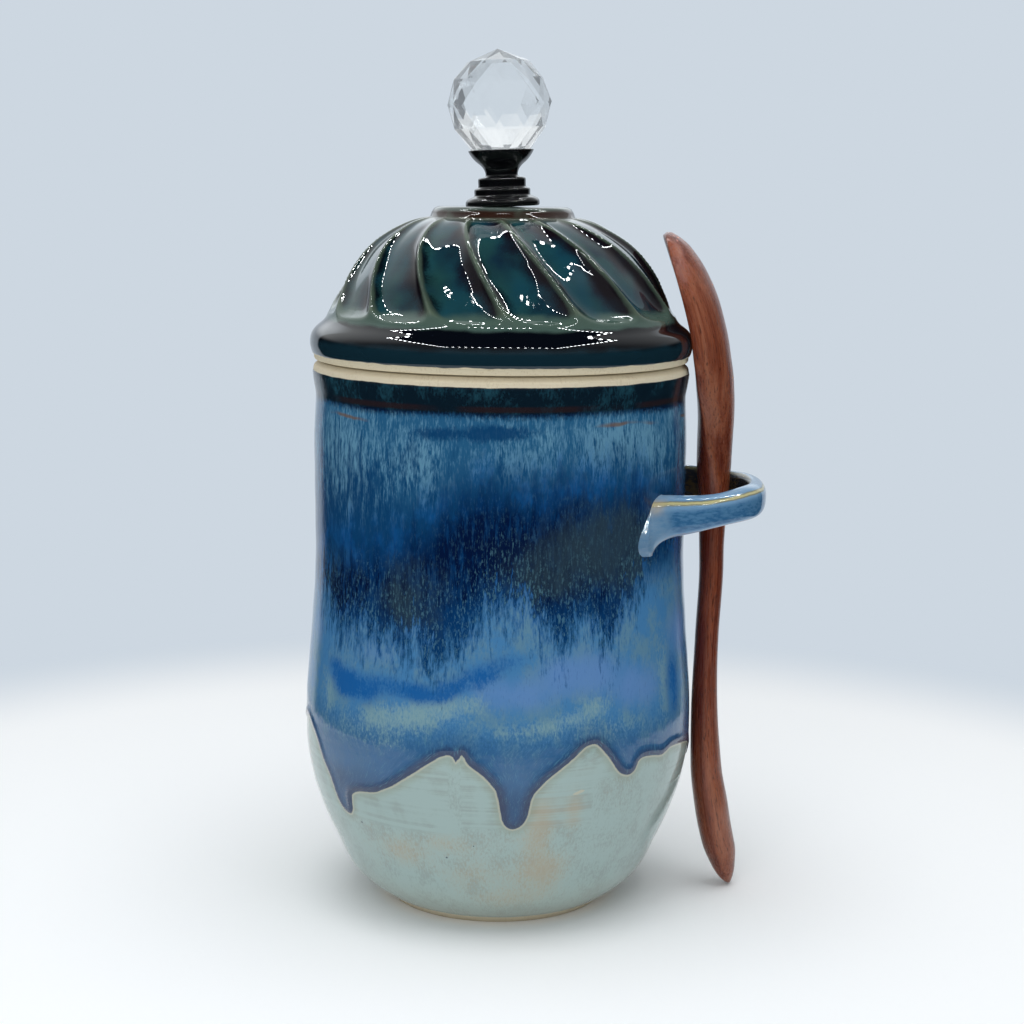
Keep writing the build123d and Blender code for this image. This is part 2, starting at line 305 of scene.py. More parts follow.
studio = {
    "wall": "#cdd7e1",
    "floor": "#f8fafc",
    "floorSides": 96,
    "nearFloor": 240.0,  # from here to farFloor the lit floor fades into the wall's colour
    "farFloor": 350.0,
    "shinyFloor": 260.0,  # how far out the glaze reflects the floor
    "floorReach": 4000.0,
    "fill": 0.50,
    "coolWhite": (0.96, 0.99, 1.0),
    # each lamp's power, and its place as the camera sees it
    "lamps": {"overhead": (4.6, (0, -100, 900)), "front": (2.2, (-200, -900, 500))},
    "lampSize": 700.0,
    # what the glaze reflects: a dim room, the wall behind the pot, and the light box above
    "room": 0.006,
    "wedge": (0.76, 0.80),
    "wedgeTop": (0.6, 0.4),
    "lowest": 0.02,
    "ringHalfWidth": 0.70,
    "ringFront": -0.84,
    "ringBack": 0.36,
    "ringLine": (0.018, 0.009),
    "ringPitch": 0.085,
    "ringBeads": (0.35, 0.75),
    "ringGlow": 150.0,
    "upward": (0.1, 0.3),
    "boxEdge": 0.03,
    "boxFront": 0.18,
    "boxSide": 1.0,
    "boxTilt": 0.8,
    "boxRise": (0.35, 1.0),
    "boxShade": 0.6,
    "boxShadeFrom": (0.15, 0.55),
    # what the glass shows: the wall, a dark patch in front, the bright box above, and two tinted glints
    "glassDark": "#7d8990",
    "glassFront": (-0.985, -0.955),
    "glassBox": (1.0, 1.03, 1.05, 1),
    "glassRise": (0.15, 0.35),
    "glints": [("#d8a860", (-0.62, -0.55, -0.56)), ("#8fd4c4", (0.90, -0.10, -0.42))],
    "glintReach": (0.88, 0.92),
}


def setWorld():
    world = bpy.data.worlds.new("studioWorld")
    bpy.context.scene.world = world
    sky = Finish(world)
    way = sky.node("ShaderNodeVectorRotate", {"rotation_type": "Z_AXIS"}, {
        "Vector": sky.node("ShaderNodeTexCoord", output="Generated"), "Angle": -viewTurn,
    })
    east, north, up = [sky.part(way, axis) for axis in "XYZ"]
    level = sky.node("ShaderNodeVectorMath", {"operation": "LENGTH"},
                     {0: sky.squeeze(way, 1, 1, 0)}, output="Value")
    behind = sky.ramp(north / level, *studio["wedge"]) * sky.ramp(up, *studio["wedgeTop"])
    room = (studio["room"],) * 3 + (1,)
    reflected = sky.mix(behind, room, linear(studio["wall"]))

    # a square ring of small lamps overhead, seen only as sparkle in the glaze
    height = up.math("MAXIMUM", up, studio["lowest"])
    middle = (studio["ringFront"] + studio["ringBack"]) / 2
    reach = (studio["ringBack"] - studio["ringFront"]) / 2
    across, along = abs(east / height), abs(north / height - middle)
    overSide, overEnd = across - studio["ringHalfWidth"], along - reach
    over = overSide.math("MAXIMUM", overSide, overEnd)
    line = sky.ramp(abs(over), *studio["ringLine"])
    onSide = overSide.math("GREATER_THAN", overSide, overEnd)
    travel = onSide * north / height + (1 - onSide) * east / height
    turns = travel * (2 * math.pi / studio["ringPitch"])
    beads = sky.ramp(turns.math("SINE", turns), *studio["ringBeads"])
    upward = sky.ramp(up, *studio["upward"])
    sparkle = line * beads * upward * studio["ringGlow"]

    # outside the ring the pale box shows in the glaze, brightest at its left side and its back
    outside = sky.ramp(over, 0.0, studio["boxEdge"]) * upward
    shaded = 1 - sky.ramp(east, *studio["boxShadeFrom"]) * studio["boxShade"]
    bright = sky.ramp(up + north * studio["boxTilt"], *studio["boxRise"]) * shaded
    boxGlow = outside * (studio["boxFront"] + bright * (studio["boxSide"] - studio["boxFront"]))
    lampColour = sky.node("ShaderNodeVectorMath", {"operation": "SCALE"},
                          {0: studio["coolWhite"], "Scale": sparkle + boxGlow})
    reflected = sky.node("ShaderNodeVectorMath", {"operation": "ADD"}, {0: reflected, 1: lampColour})

    front = sky.ramp(north, *studio["glassFront"])
    through = sky.mix(front, linear(studio["glassDark"]), linear(studio["wall"]))
    through = sky.mix(sky.ramp(up, *studio["glassRise"]), through, studio["glassBox"])
    for colour, aim in studio["glints"]:
        near = sky.node("ShaderNodeVectorMath", {"operation": "DOT_PRODUCT"}, {0: way, 1: aim},
                        output="Value")
        through = sky.mix(sky.ramp(near, *studio["glintReach"]), through, linear(colour))

    light = {name: sky.node("ShaderNodeLightPath", output=name)
             for name in ("Is Camera Ray", "Is Glossy Ray", "Is Transmission Ray")}
    fill = tuple(studio["fill"] * c for c in studio["coolWhite"]) + (1,)
    colour = sky.mix(light["Is Glossy Ray"], fill, reflected)
    colour = sky.mix(light["Is Transmission Ray"], colour, through)
    colour = sky.mix(light["Is Camera Ray"], colour, linear(studio["wall"]))
    glow = sky.node("ShaderNodeBackground", inputs={"Color": colour})
    sky.node("ShaderNodeOutputWorld", inputs={"Surface": glow})


def addLamp(name, power, location):
    data = bpy.data.lights.new(name, "AREA")
    data.energy = power
    data.size = studio["lampSize"] * mm
    lamp = bpy.data.objects.new(name, data)
    lamp.location = fromView(*location)
    lamp.rotation_euler = (-lamp.location).to_track_quat("-Z", "Y").to_euler()
    lamp.visible_glossy = False
    lamp.visible_transmission = False
    bpy.context.scene.collection.objects.link(lamp)


def setFloor():
    # a near disc that the glaze reflects, and a far sheet that it doesn't
    paint = newFinish("floorPaint")
    reach = paint.node("ShaderNodeVectorMath", {"operation": "LENGTH"}, {0: paint.place()},
                       output="Value")
    away = paint.ramp(reach, studio["nearFloor"], studio["farFloor"])
    near = paint.node("ShaderNodeBsdfDiffuse", inputs={"Color": linear(studio["floor"])})
    far = paint.node("ShaderNodeEmission", inputs={"Color": linear(studio["wall"])})
    both = paint.node("ShaderNodeMixShader", inputs={0: away, 1: near, 2: far})
    paint.node("ShaderNodeOutputMaterial", inputs={"Surface": both})
    sides = studio["floorSides"]
    turn = np.linspace(0, 2 * math.pi, sides, endpoint=False)
    circle = np.stack([np.cos(turn), np.sin(turn), 0 * turn], axis=1)
    disc = bpy.data.meshes.new("nearFloor")
    disc.from_pydata((circle * studio["shinyFloor"] * mm).tolist(), [], [list(range(sides))])
    sheet = bpy.data.meshes.new("farFloor")
    rings = np.concatenate([circle * studio["shinyFloor"], circle * studio["floorReach"]]) * mm
    faces = [(i, sides + i, sides + (i + 1) % sides, (i + 1) % sides) for i in range(sides)]
    sheet.from_pydata(rings.tolist(), [], faces)
    for mesh in (disc, sheet):
        floor = bpy.data.objects.new(mesh.name, mesh)
        floor.data.materials.append(paint.owner)
        bpy.context.scene.collection.objects.link(floor)
    floor.visible_glossy = False


setWorld()
setFloor()
for lampName, (lampPower, lampPlace) in studio["lamps"].items():
    addLamp(lampName, lampPower, lampPlace)
print("studio ready")


# pot

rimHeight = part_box("pot_body")[1].z / mm

pot = {
    "columns": 448,
    "outsideRows": 168,
    "insideRows": 26,
    "under": [(8.0, 0.25), (20.0, 0.1), (29.0, 0.0), (31.6, 0.0)],
    "foot": (32.3, 0.0, (1, 0.72)),
    "outside": [(43.3, 8.9), (48.9, 19.6), (52.6, 28.0), (55.7, 38.0), (57.3, 50.0, (0, 1)),
                (57.1, 62.0), (55.7, 80.0), (54.4, 100.0), (54.4, 120.0), (54.5, 138.0, (0, 1)),
                (54.0, 149.5, (0, 1))],
    "collar": [(54.0, 149.5, (0, 1)), (54.6, 153.6), (54.9, 156.6, (0, 1)), (54.7, 158.2),
               (53.6, 159.15), (51.9, 159.62, (-1, 0.1))],
    "rimTop": [(50.6, 159.7), (49.2, 159.7), (48.2, 159.6), (47.6, 159.35)],
    "inside": [(47.4, 158.9, (0, -1)), (47.6, 149.5), (49.0, 104.0), (52.1, 50.0), (48.0, 28.0),
               (38.0, 11.5), (26.0, 7.1, (-1, -0.05)), (6.0, 7.0, (-1, 0))],
    "fineRows": (31, 60, 2.1),  # heights between which the rows stand closer, and how much closer
    "rimRows": (155, 3.0),  # the same, from this height up
    "bareFoot": 2.2,
    "bareRim": 3.0,
    "glazeStart": 0.7,
    "glazeStop": 0.3,
    "clayDrop": 0.42,
    "glaze": 0.12,
    "overGlaze": 0.14,
    "bead": 0.34,
    "beadWidth": 1.1,
    "beadSpread": 0.9,
    "beadFade": (57, 75),
    "glazeRise": (-0.1, 1.2),  # the second glaze swells between these distances from its edge
    "boxGap": 0.02,
    "wobble": 0.10,
    "wobbleClimb": 30,
    "wobbleFrom": (5, 40),
    "wobbleTo": (130, 150),
    "markShare": 0.35,  # throwing marks, as a share of the wobble
    "markPitch": 1.9,
    "markWander": 0.8,
    "marksFrom": (55, 80),
    "marksTo": (140, 150),
    "roughness": 0.06,
    "bareRoughness": 0.6,
    "lean": 0.6,
    "paintRadius": 56.5,
    "dripMiddle": 46,
    "dripReach": 26,  # the gap to the drips is measured this far from their middle height
    "farGap": 30,
    "flowRadius": 56,
    "flowLow": 30,
    "flowFade": (50, 66),
    "dripTop": 50,  # only a peak above this parts one drip from the next
}
# the foot of the blue glaze: azimuth in degrees and height, all the way round
dripPoints = [
    (-77, 56.6), (-72.9, 55.8), (-66, 52.2), (-61.4, 47.4), (-57.7, 42.7), (-55.4, 36.3),
    (-53, 33.6), (-50, 33.2), (-48, 35.4), (-47.2, 39.6), (-43.8, 41.4), (-36.3, 42.9),
    (-30.4, 45.7), (-24, 50.0), (-18.5, 53.9), (-14.1, 56.3), (-11.8, 55.9), (-10.8, 54.4),
    (-9.7, 56.8), (-7.9, 54.3), (-4.0, 51.2), (-1.2, 48.4), (0.4, 46.2), (1.1, 42.0), (1.7, 38.3),
    (2.9, 36.0), (5.0, 35.0), (7.2, 35.8), (8.8, 38.2), (9.5, 42.0), (10.5, 45.4), (14.7, 49.6),
    (20.9, 54.0), (25.2, 57.5), (26.8, 58.0), (28.9, 58.0), (30.8, 56.4), (34.4, 51.9),
    (37.0, 48.7), (40.5, 47.3), (43.0, 48.2), (44.6, 50.6), (47.3, 51.3), (55.5, 50.0), (61, 51.0),
    (68, 50.3), (77, 48.6), (84, 45.5), (88, 40.5), (92, 38.2), (96, 40.9), (101, 47.2),
    (110, 52.6), (120, 55.6), (127, 56.7), (133, 53.9), (139, 49.0), (143, 42.6), (147, 39.7),
    (151, 42.9), (156, 48.7), (165, 53.6), (174, 57.1), (181, 55.3), (188, 50.6), (193, 44.0),
    (197, 37.2), (201, 35.3), (205, 38.4), (209, 45.6), (216, 51.1), (225, 54.9), (234, 57.5),
    (243, 54.7), (250, 50.6), (256, 47.4), (261, 46.1), (266, 48.1), (272, 52.4),
]
# the dark band's foot and head
darkFoot = [
    (-77, 101), (-68, 98), (-57, 90), (-51, 85), (-47, 89), (-38, 88), (-29, 87), (-23, 88),
    (-17, 82), (-12, 85), (-6, 93), (-1, 98), (6, 99), (13, 92), (18, 86), (23, 93), (27, 94),
    (32, 87), (38, 93), (47, 101.5), (56, 108), (68, 110), (82, 102), (96, 91), (110, 86),
    (125, 90), (140, 97), (155, 90), (170, 84), (185, 88), (200, 96), (215, 92), (230, 85),
    (245, 88), (262, 97),
]
darkHead = [
    (-77, 104), (-65, 106), (-50, 109), (-37, 113), (-28, 114.5), (-17, 121), (-10, 127), (0, 128),
    (10, 126), (18, 128), (31, 128.5), (47, 125), (58, 121), (78, 118), (98, 124), (118, 128),
    (140, 122), (160, 117), (180, 121), (200, 127), (220, 130), (240, 124), (262, 115),
]
# soft patches of other colours in the glaze: azimuth, height, reach round, reach up, strength
patches = {
    "charcoal": [(-27, 99, 13, 11, 0.75), (-62, 101, 8, 8, 0.4), (14, 106, 12, 9, 0.7),
                 (26, 113, 12, 11, 0.8), (37, 115, 12, 12, 0.9), (46, 109, 8, 9, 0.7),
                 (75, 112, 12, 8, 0.6), (112, 108, 20, 13, 0.9), (160, 103, 16, 12, 0.8),
                 (205, 112, 18, 12, 1.0), (240, 104, 16, 12, 0.8)],
    "royal": [(-56, 75, 5, 4, 0.6), (-48, 72, 7, 4.5, 0.95), (-41, 71, 6, 3.5, 0.8),
              (-34, 74, 7, 3, 0.6), (-26, 73, 7, 3.2, 0.75), (-18, 72, 6, 3, 0.7),
              (-11, 75, 6, 3, 0.6), (-4, 79, 7, 3.5, 0.7), (4, 82.5, 7, 3, 0.55),
              (-18, 144, 10, 2.2, 0.8), (-3, 144.5, 9, 2.4, 0.95), (8, 145, 6, 2, 0.5),
              (50, 64, 5, 7, 0.3), (63, 70, 5, 12, 0.7), (85, 74, 10, 4, 0.7), (100, 72, 9, 3, 0.6),
              (118, 75, 11, 4, 0.7), (136, 71, 10, 3.5, 0.7), (160, 76, 12, 4, 0.7),
              (180, 73, 10, 4, 0.6), (205, 71, 12, 4, 0.8), (226, 75, 11, 4, 0.7),
              (250, 78, 12, 4, 0.7), (100, 144, 14, 2.4, 0.7), (180, 144, 16, 2.4, 0.8),
              (235, 145, 12, 2, 0.6)],
    "green": [(-42, 61, 8, 4, 0.5), (-33, 64, 9, 4, 0.75), (-25, 66, 9, 4, 0.85),
              (-16, 69, 8, 4, 0.95), (-8, 71, 6, 3, 0.7), (-30, 57, 9, 3, 0.5),
              (-58, 68, 4, 9, 0.6), (3, 63, 7, 2.2, 0.4), (14, 64, 8, 2.2, 0.6),
              (22, 66, 6, 2.6, 0.75), (29, 68.5, 6, 3.2, 0.75), (28, 61, 8, 3, 0.5),
              (38, 62, 8, 3, 0.4), (57, 72, 4, 14, 0.5), (95, 62, 12, 4, 0.7),
              (135, 63, 12, 4, 0.8), (185, 65, 14, 4.5, 0.85), (232, 64, 12, 4, 0.8),
              (264, 62, 10, 5, 0.7)],
    "lavender": [(0, 74, 10, 5, 0.7), (11, 73, 9, 5, 0.7), (20, 78, 9, 6, 1.0), (31, 78, 7, 7, 0.9),
                 (41, 73, 7, 7, 0.9), (50, 72, 7, 7, 0.6), (-68, 84, 6, 8, 0.6),
                 (-38, 82, 10, 3.5, 0.35), (70, 84, 12, 8, 0.8), (110, 79, 12, 6, 0.8),
                 (155, 81, 10, 6, 0.7), (200, 80, 12, 6, 0.9), (246, 83, 12, 6, 0.8)],
    # pale misty glaze; the patch at -68 degrees, by the left edge, is a painted reflection of the pale wall
    "mistAndReflection": [(-54, 139, 14, 11, 0.8), (-68, 119, 9, 14, 0.8), (-24, 138, 12, 8, 0.6),
             (-46, 127, 12, 6, 0.5), (4, 135, 7, 6, 0.35), (38, 141, 14, 7, 0.75),
             (18, 131, 10, 4, 0.25), (80, 138, 16, 9, 0.7), (125, 141, 14, 7, 0.7),
             (165, 136, 14, 8, 0.6), (210, 140, 14, 8, 0.7), (250, 137, 16, 9, 0.6)],
    "warm": [(-30, 25, 9, 6, 0.5), (-14, 30, 10, 4, 0.4), (-8, 19, 16, 6, 0.35),
             (13, 34, 5, 9, 0.65), (17, 22, 10, 7, 0.55), (23, 39, 3, 8, 0.4), (4, 12, 18, 4, 0.35),
             (95, 26, 14, 8, 0.6), (150, 30, 12, 7, 0.5), (200, 22, 16, 8, 0.6),
             (245, 30, 12, 7, 0.5)],
    "mark": [(23, 44.8, 1.3, 0.45, 1.0), (24.6, 45.4, 1.2, 0.45, 1.0)],
}


def gapToLine(rows, columns, heights):
    # distance in millimetres from a line of heights round the pot: above it is more than 0
    radius = pot["paintRadius"]
    flat = np.stack([columns * radius, heights], axis=1)
    lap = [2 * math.pi * radius, 0]
    flat = np.concatenate([flat[-12:] - lap, flat, flat[:12] + lap])
    start, span = flat[:-1], np.diff(flat, axis=0)
    gap = np.empty(rows.shape[:2])
    for i in range(rows.shape[0]):
        z = rows[i, :, 2]
        if abs(z[0] - pot["dripMiddle"]) > pot["dripReach"]:
            gap[i] = np.sign(z - heights) * pot["farGap"]
            continue
        point = np.stack([columns * radius, z], axis=1)[:, None]
        t = np.clip(((point - start) * span).sum(2) / (span**2).sum(1), 0, 1)
        near = np.linalg.norm(point - start - t[:, :, None] * span, axis=2).min(axis=1)
        gap[i] = np.where(z > heights, near, -near)
    return gap


def flowAngles(rows, columns, heights):
    # azimuths that run together towards each drip's tip, so that streaks gather in it
    ahead, behind = np.roll(heights, -1), np.roll(heights, 1)
    tops = np.nonzero((heights >= ahead) & (heights > behind))[0]
    tops = [k for k in tops if heights[k] > pot["dripTop"]]
    count = len(columns)
    turn = 2 * math.pi
    flow = np.repeat(columns[None], rows.shape[0], axis=0)
    for i in range(rows.shape[0]):
        z = rows[i, 0, 2]
        share = 1 - eased(z, *pot["flowFade"])
        if share <= 0 or z < pot["flowLow"]:
            continue
        for a, b in zip(tops, tops[1:] + [tops[0] + count]):
            cell = np.arange(a, b)
            wet = cell[heights[cell % count] < z]
            if len(wet) < 3:
                continue
            low, high = wet[0] - 1, wet[-1] + 1
            spread = (cell - low) / (high - low) * (b - a) + a
            spread = np.clip(spread, a, b)
            angle = columns[0] + spread / count * turn
            plain = columns[0] + cell / count * turn
            flow[i, cell % count] = plain + (angle - plain) * share
    return flow


def patchField(rows, columns, spots):
    clear = np.ones(rows.shape[:2])
    for azimuth, height, reachRound, reachUp, strength in spots:
        away = (np.degrees(columns) - azimuth + 180) % 360 - 180
        across = away[None] / reachRound
        along = (rows[:, :, 2] - height) / reachUp
        clear *= 1 - strength * np.exp(-(across**2 + along**2))
    return 1 - clear


def buildPot():
    painted = np.linspace(0, 2 * math.pi, pot["columns"], endpoint=False)
    painted += math.radians(dripPoints[0][0])
    columns = painted + viewTurn
    lean = pot["lean"] * np.sin(painted)
    heights = roundLine(dripPoints, painted) + lean

    def density(p):
        low, high, closer = pot["fineRows"]
        rimFrom, rimCloser = pot["rimRows"]
        fine = closer if low < p[1] < high else 1.0
        return fine if p[1] < rimFrom else rimCloser

    outside = np.concatenate([
        smoothLine([pot["foot"], *pot["outside"]]), smoothLine(pot["collar"])[1:],
    ])
    outside = evenly(outside, pot["outsideRows"], density)
    inside = evenly(smoothLine(pot["inside"]), pot["insideRows"])
    under = np.array(pot["under"])
    line = np.concatenate([under, outside, np.array(pot["rimTop"]), inside])
    rows = turned(line, columns)
    z = rows[:, :, 2]
    gap = gapToLine(rows, columns, heights)

    isOut = np.zeros(len(line), bool)
    isOut[len(under):len(under) + len(outside)] = True
    slope = unitSteps(line)
    normal = np.stack([slope[:, 1], -slope[:, 0]], axis=1)

    azimuth = columns[None]
    rimEdge = rimHeight - pot["bareRim"]
    glazed = eased(z, pot["bareFoot"], pot["bareFoot"] + pot["glazeStart"]) * (
        1 - eased(z, rimEdge - pot["glazeStop"], rimEdge + pot["glazeStop"]))
    bead = np.exp(-((gap - pot["beadWidth"]) / (pot["beadSpread"] * pot["beadWidth"])) ** 2)
    low = 1 - eased(z, *pot["beadFade"])
    marks = np.sin(z / pot["markPitch"] + pot["markWander"] * np.sin(azimuth * 2)) * pot["markShare"]
    sway = np.sin(azimuth * 3 + z / pot["wobbleClimb"])
    lift = (
        -pot["clayDrop"] + pot["glaze"] * glazed
        + glazed * eased(gap, *pot["glazeRise"]) * (pot["overGlaze"] + pot["bead"] * bead * low)
        + pot["wobble"] * eased(z, *pot["marksFrom"]) * (1 - eased(z, *pot["marksTo"])) * marks
        + pot["wobble"] * sway * eased(z, *pot["wobbleFrom"]) * (1 - eased(z, *pot["wobbleTo"]))
    )
    lift = np.where(isOut[:, None], lift, 0)
    radial = lift * normal[:, :1]
    rows[:, :, 0] += radial * np.sin(azimuth)
    rows[:, :, 1] -= radial * np.cos(azimuth)
    rows[:, :, 2] += lift * normal[:, 1:] * (np.abs(normal[:, 1:]) < 0.9)
    reach = np.hypot(rows[:, :, 0], rows[:, :, 1])
    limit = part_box("pot_body")[1].y / mm - pot["boxGap"]
    rows[:, :, :2] *= np.minimum(1, limit / np.maximum(reach, 1))[:, :, None]

    flow = flowAngles(rows, columns, heights)
    radius = pot["flowRadius"]
    flowPoint = np.stack([np.sin(flow) * radius, -np.cos(flow) * radius, z], axis=2)
    values = {
        "dripGap": gap,
        "darkLow": z - lean - roundLine(darkFoot, painted),
        "darkHigh": roundLine(darkHead, painted) + lean - z,
        "outer": np.where(isOut[:, None], 1.0, 0.0) + 0 * z,
        "flowPoint": flowPoint,
    }
    for label, spots in patches.items():
        values[label] = patchField(rows, painted, spots)
    piece = gridPiece("potShell", rows, caps=True, values=values)
    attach(piece, "pot")
    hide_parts("pot_body")
    return piece


glazeColours = {
    "clay": "#d6cab0", "claySpeck": "#bba98c", "celadon": "#9bb0ad", "celadonWarm": "#a89c84",
    "celadonGrey": "#8c9a95", "stain": "#8a8f78", "halo": "#b4b4a2", "rimLine": "#2e3652",
    "edgeBlue": "#2f5a84", "steel": "#447aa8", "slate": "#5b839b", "royal": "#145899",
    "lavender": "#5c84b6", "green": "#7fa0a6", "dripDeep": "#173a60", "navy": "#031436",
    "ink": "#073461", "charcoal": "#2a3c47", "fleck": "#5b8c9c", "upper": "#25597e",
    "upperLight": "#5d8ba5", "upperDeep": "#0b3b64", "collar": "#0b1b26", "collarTeal": "#1d424f",
    "collarBrownReflection": "#251b1e", "break": "#6a5444",
}
# sizes of the glaze's mottling in millimetres
glazeGrain = {
    "cloud": 22, "blotch": 7, "stipple": 0.6, "streak": 1.7, "hair": 0.5, "tear": 4.5, "speck": 9.0,
}
# heights between which one colour gives way to the next
glazeHeights = {
    "footHalo": (18, 5),
    "lowBlue": (66, 54),
    "dripDeep": (50, 42),
    "upper": (96, 112),
    "upperDeep": (138, 112),
    "ridge": 146.3,
    "collar": (147.6, 150.0),
    "collarNavy": (150.2, 149.2),
    "collarBrownReflection": 150.9,
    "collarTop": (156.0, 158.0),
}
glazeEdges = {"foot": 0.35, "rim": 0.25, "rimInside": (1.2, 0.8)}


def potFinish():
    f = newFinish("potGlaze")
    c = palette(glazeColours)
    size, level = glazeGrain, glazeHeights
    place = f.place()
    z = f.part(place, "Z")
    flow = f.attribute("flowPoint", "Vector")
    gap = f.attribute("dripGap")
    outer = f.attribute("outer")

    green, mistAndReflection = f.attribute("green"), f.attribute("mistAndReflection")

    cloud = f.noise(place, size["cloud"], 3) - 0.5
    blotch = f.noise(f.squeeze(place, 1, 1, 0.7), size["blotch"], 4, 0.6) - 0.5
    stipple = f.noise(f.squeeze(flow, 1, 1, 0.5), size["stipple"], 3, 0.7) - 0.5
    streak = f.noise(f.squeeze(flow, 1, 1, 0.2), size["streak"], 4, 0.65, 0.3) - 0.5
    hair = f.noise(f.squeeze(flow, 1, 1, 0.2), size["hair"], 3, 0.65, 0.2) - 0.5
    tear = f.noise(f.squeeze(flow, 1, 1, 0.13), size["tear"], 3, 0.6, 0.4) - 0.5

    # pale celadon below, warmer where it is thin
    celadon = f.mix(f.ramp(blotch + stipple, -0.1, 0.25) * 0.7, c["celadon"], c["celadonGrey"])
    warm = f.attribute("warm") + cloud * 0.8 + stipple * 0.7
    celadon = f.mix(f.ramp(warm, 0.1, 0.75) * 0.75, celadon, c["celadonWarm"])
    celadon = f.mix(f.ramp(z, *level["footHalo"]) * 0.3, celadon, c["halo"])
    spots = f.node("ShaderNodeTexVoronoi", {"feature": "F1"},
                   {"Vector": place, "Scale": 1 / size["speck"]}, output="Distance")
    celadon = f.mix(f.ramp(spots, 0.042, 0.028) * 0.8, celadon, c["rimLine"])
    celadon = f.mix(f.ramp(f.attribute("mark"), 0.4, 0.6), celadon, c["halo"])
    celadon = f.mix(f.ramp(gap + stipple * 2, -3.2, -0.6) * 0.4, celadon, c["stain"])

    # blues between the drips and the dark band
    mid = f.mix(f.ramp(blotch + stipple * 0.4, -0.12, 0.14), c["steel"], c["slate"])
    lavender = f.attribute("lavender") + cloud * 0.7 + blotch * 0.6
    mid = f.mix(f.ramp(lavender, 0.15, 0.95), mid, c["lavender"])
    mid = f.mix(f.ramp(green + blotch * 0.9 + stipple * 1.5, 0.15, 1.05) * 0.85, mid, c["green"])
    royal = f.attribute("royal") + blotch * 1.1 + stipple * 0.9
    mid = f.mix(f.ramp(royal, 0.2, 0.8) * 0.95, mid, c["royal"])
    mid = f.mix(f.ramp(hair + stipple * 0.4, 0.06, 0.2) * 0.3, mid, c["edgeBlue"])
    low = f.ramp(z + blotch * 16 + stipple * 22, *level["lowBlue"]) * (1 - f.ramp(green, 0.3, 0.9) * 0.6)
    mid = f.mix(low * 0.8, mid, c["edgeBlue"])

    # upper blue, misty in places, with fine streaks; the misty patch at the far left is a painted
    # reflection of the pale wall
    tone = blotch * 0.7 + streak * 0.7 + hair * 1.3 + cloud * 0.5
    upper = f.mix(f.ramp(tone + mistAndReflection * 0.32, -0.08, 0.36), c["upper"], c["upperLight"])
    sink = f.ramp(z + streak * 60 + hair * 30 + tear * 30 - mistAndReflection * 14, *level["upperDeep"])
    upper = f.mix(sink * 0.95, upper, c["upperDeep"])
    upper = f.mix(f.ramp(royal, 0.25, 0.7) * 0.9, upper, c["upperDeep"])

    # the dark band, feathered at its foot
    dark = f.mix(f.ramp(streak + cloud * 0.8 + hair * 0.5, -0.16, 0.18), c["navy"], c["ink"])
    sooty = f.attribute("charcoal") + blotch * 1.1 + streak * 0.9 + stipple * 0.5
    dark = f.mix(f.ramp(sooty, 0.1, 0.95) * 0.85, dark, c["charcoal"])
    foot = f.attribute("darkLow") + streak * 38 + hair * 30 + tear * 16
    head = f.attribute("darkHigh") + streak * 26 + tear * 20 + hair * 14
    near = f.ramp(abs(foot - 6), 22, 2)
    flecks = f.ramp(hair + stipple * 0.7, 0.02, 0.2)
    dark = f.mix(flecks * (0.1 + near * 0.36), dark, c["fleck"])

    blue = f.mix(f.ramp(z, *level["upper"]), mid, upper)
    shade = f.mix(f.ramp(blotch, -0.1, 0.15), c["upperDeep"], c["royal"])
    blue = f.mix(f.ramp(foot, -10.0, 3.0) * f.ramp(head, -14.0, 2.0) * 0.8, blue, shade)
    blue = f.mix(f.ramp(foot, -1.0, 5.0) * f.ramp(head, -7.0, 7.0), blue, dark)

    # edges of the run
    edge = gap + stipple * 2.4 + hair * 1.6
    blue = f.mix(f.ramp(z, *level["dripDeep"]), blue, c["dripDeep"])
    blue = f.mix(f.ramp(edge, 9, 1.5) * 0.6, blue, c["edgeBlue"])
    blue = f.mix(f.ramp(edge, 3.6, 0.5) * 0.85, blue, c["rimLine"])
    blue = f.mix(f.ramp(hair, 0.05, 0.16) * f.ramp(gap, 16, 4) * 0.4, blue, c["fleck"])
    line = gap + blotch * 0.7 + stipple * 0.5
    body = f.mix(f.ramp(line, -0.75, -0.25) * (0.8 + stipple), celadon, c["halo"])
    body = f.mix(f.ramp(line, -0.2, 0.15), body, blue)

    # dark collar, with the glaze breaking brown on the ridge below it
    collar = f.mix(f.ramp(blotch + stipple * 0.6, -0.05, 0.25), c["collar"], c["collarTeal"])
    collar = f.mix(f.ramp(z, *level["collarTop"]) * 0.7, collar, c["collar"])
    collar = f.mix(f.ramp(z, *level["collarNavy"]) * 0.8, collar, c["navy"])
    # painted reflection: a thin brown line round the collar stands in for a reddish reflection there
    brown = f.ramp(abs(z - level["collarBrownReflection"]), 1.0, 0.5) * f.ramp(cloud, -0.12, 0.02)
    collar = f.mix(brown * 0.9, collar, c["collarBrownReflection"])
    body = f.mix(f.ramp(z + stipple * 3.5 + cloud * 3, *level["collar"]), body, collar)
    ridge = f.ramp(abs(z - level["ridge"] + cloud * 6), 0.7, 0.15) * f.ramp(mistAndReflection + cloud, 0.25, 0.45)
    body = f.mix(ridge * 0.8, body, c["break"])

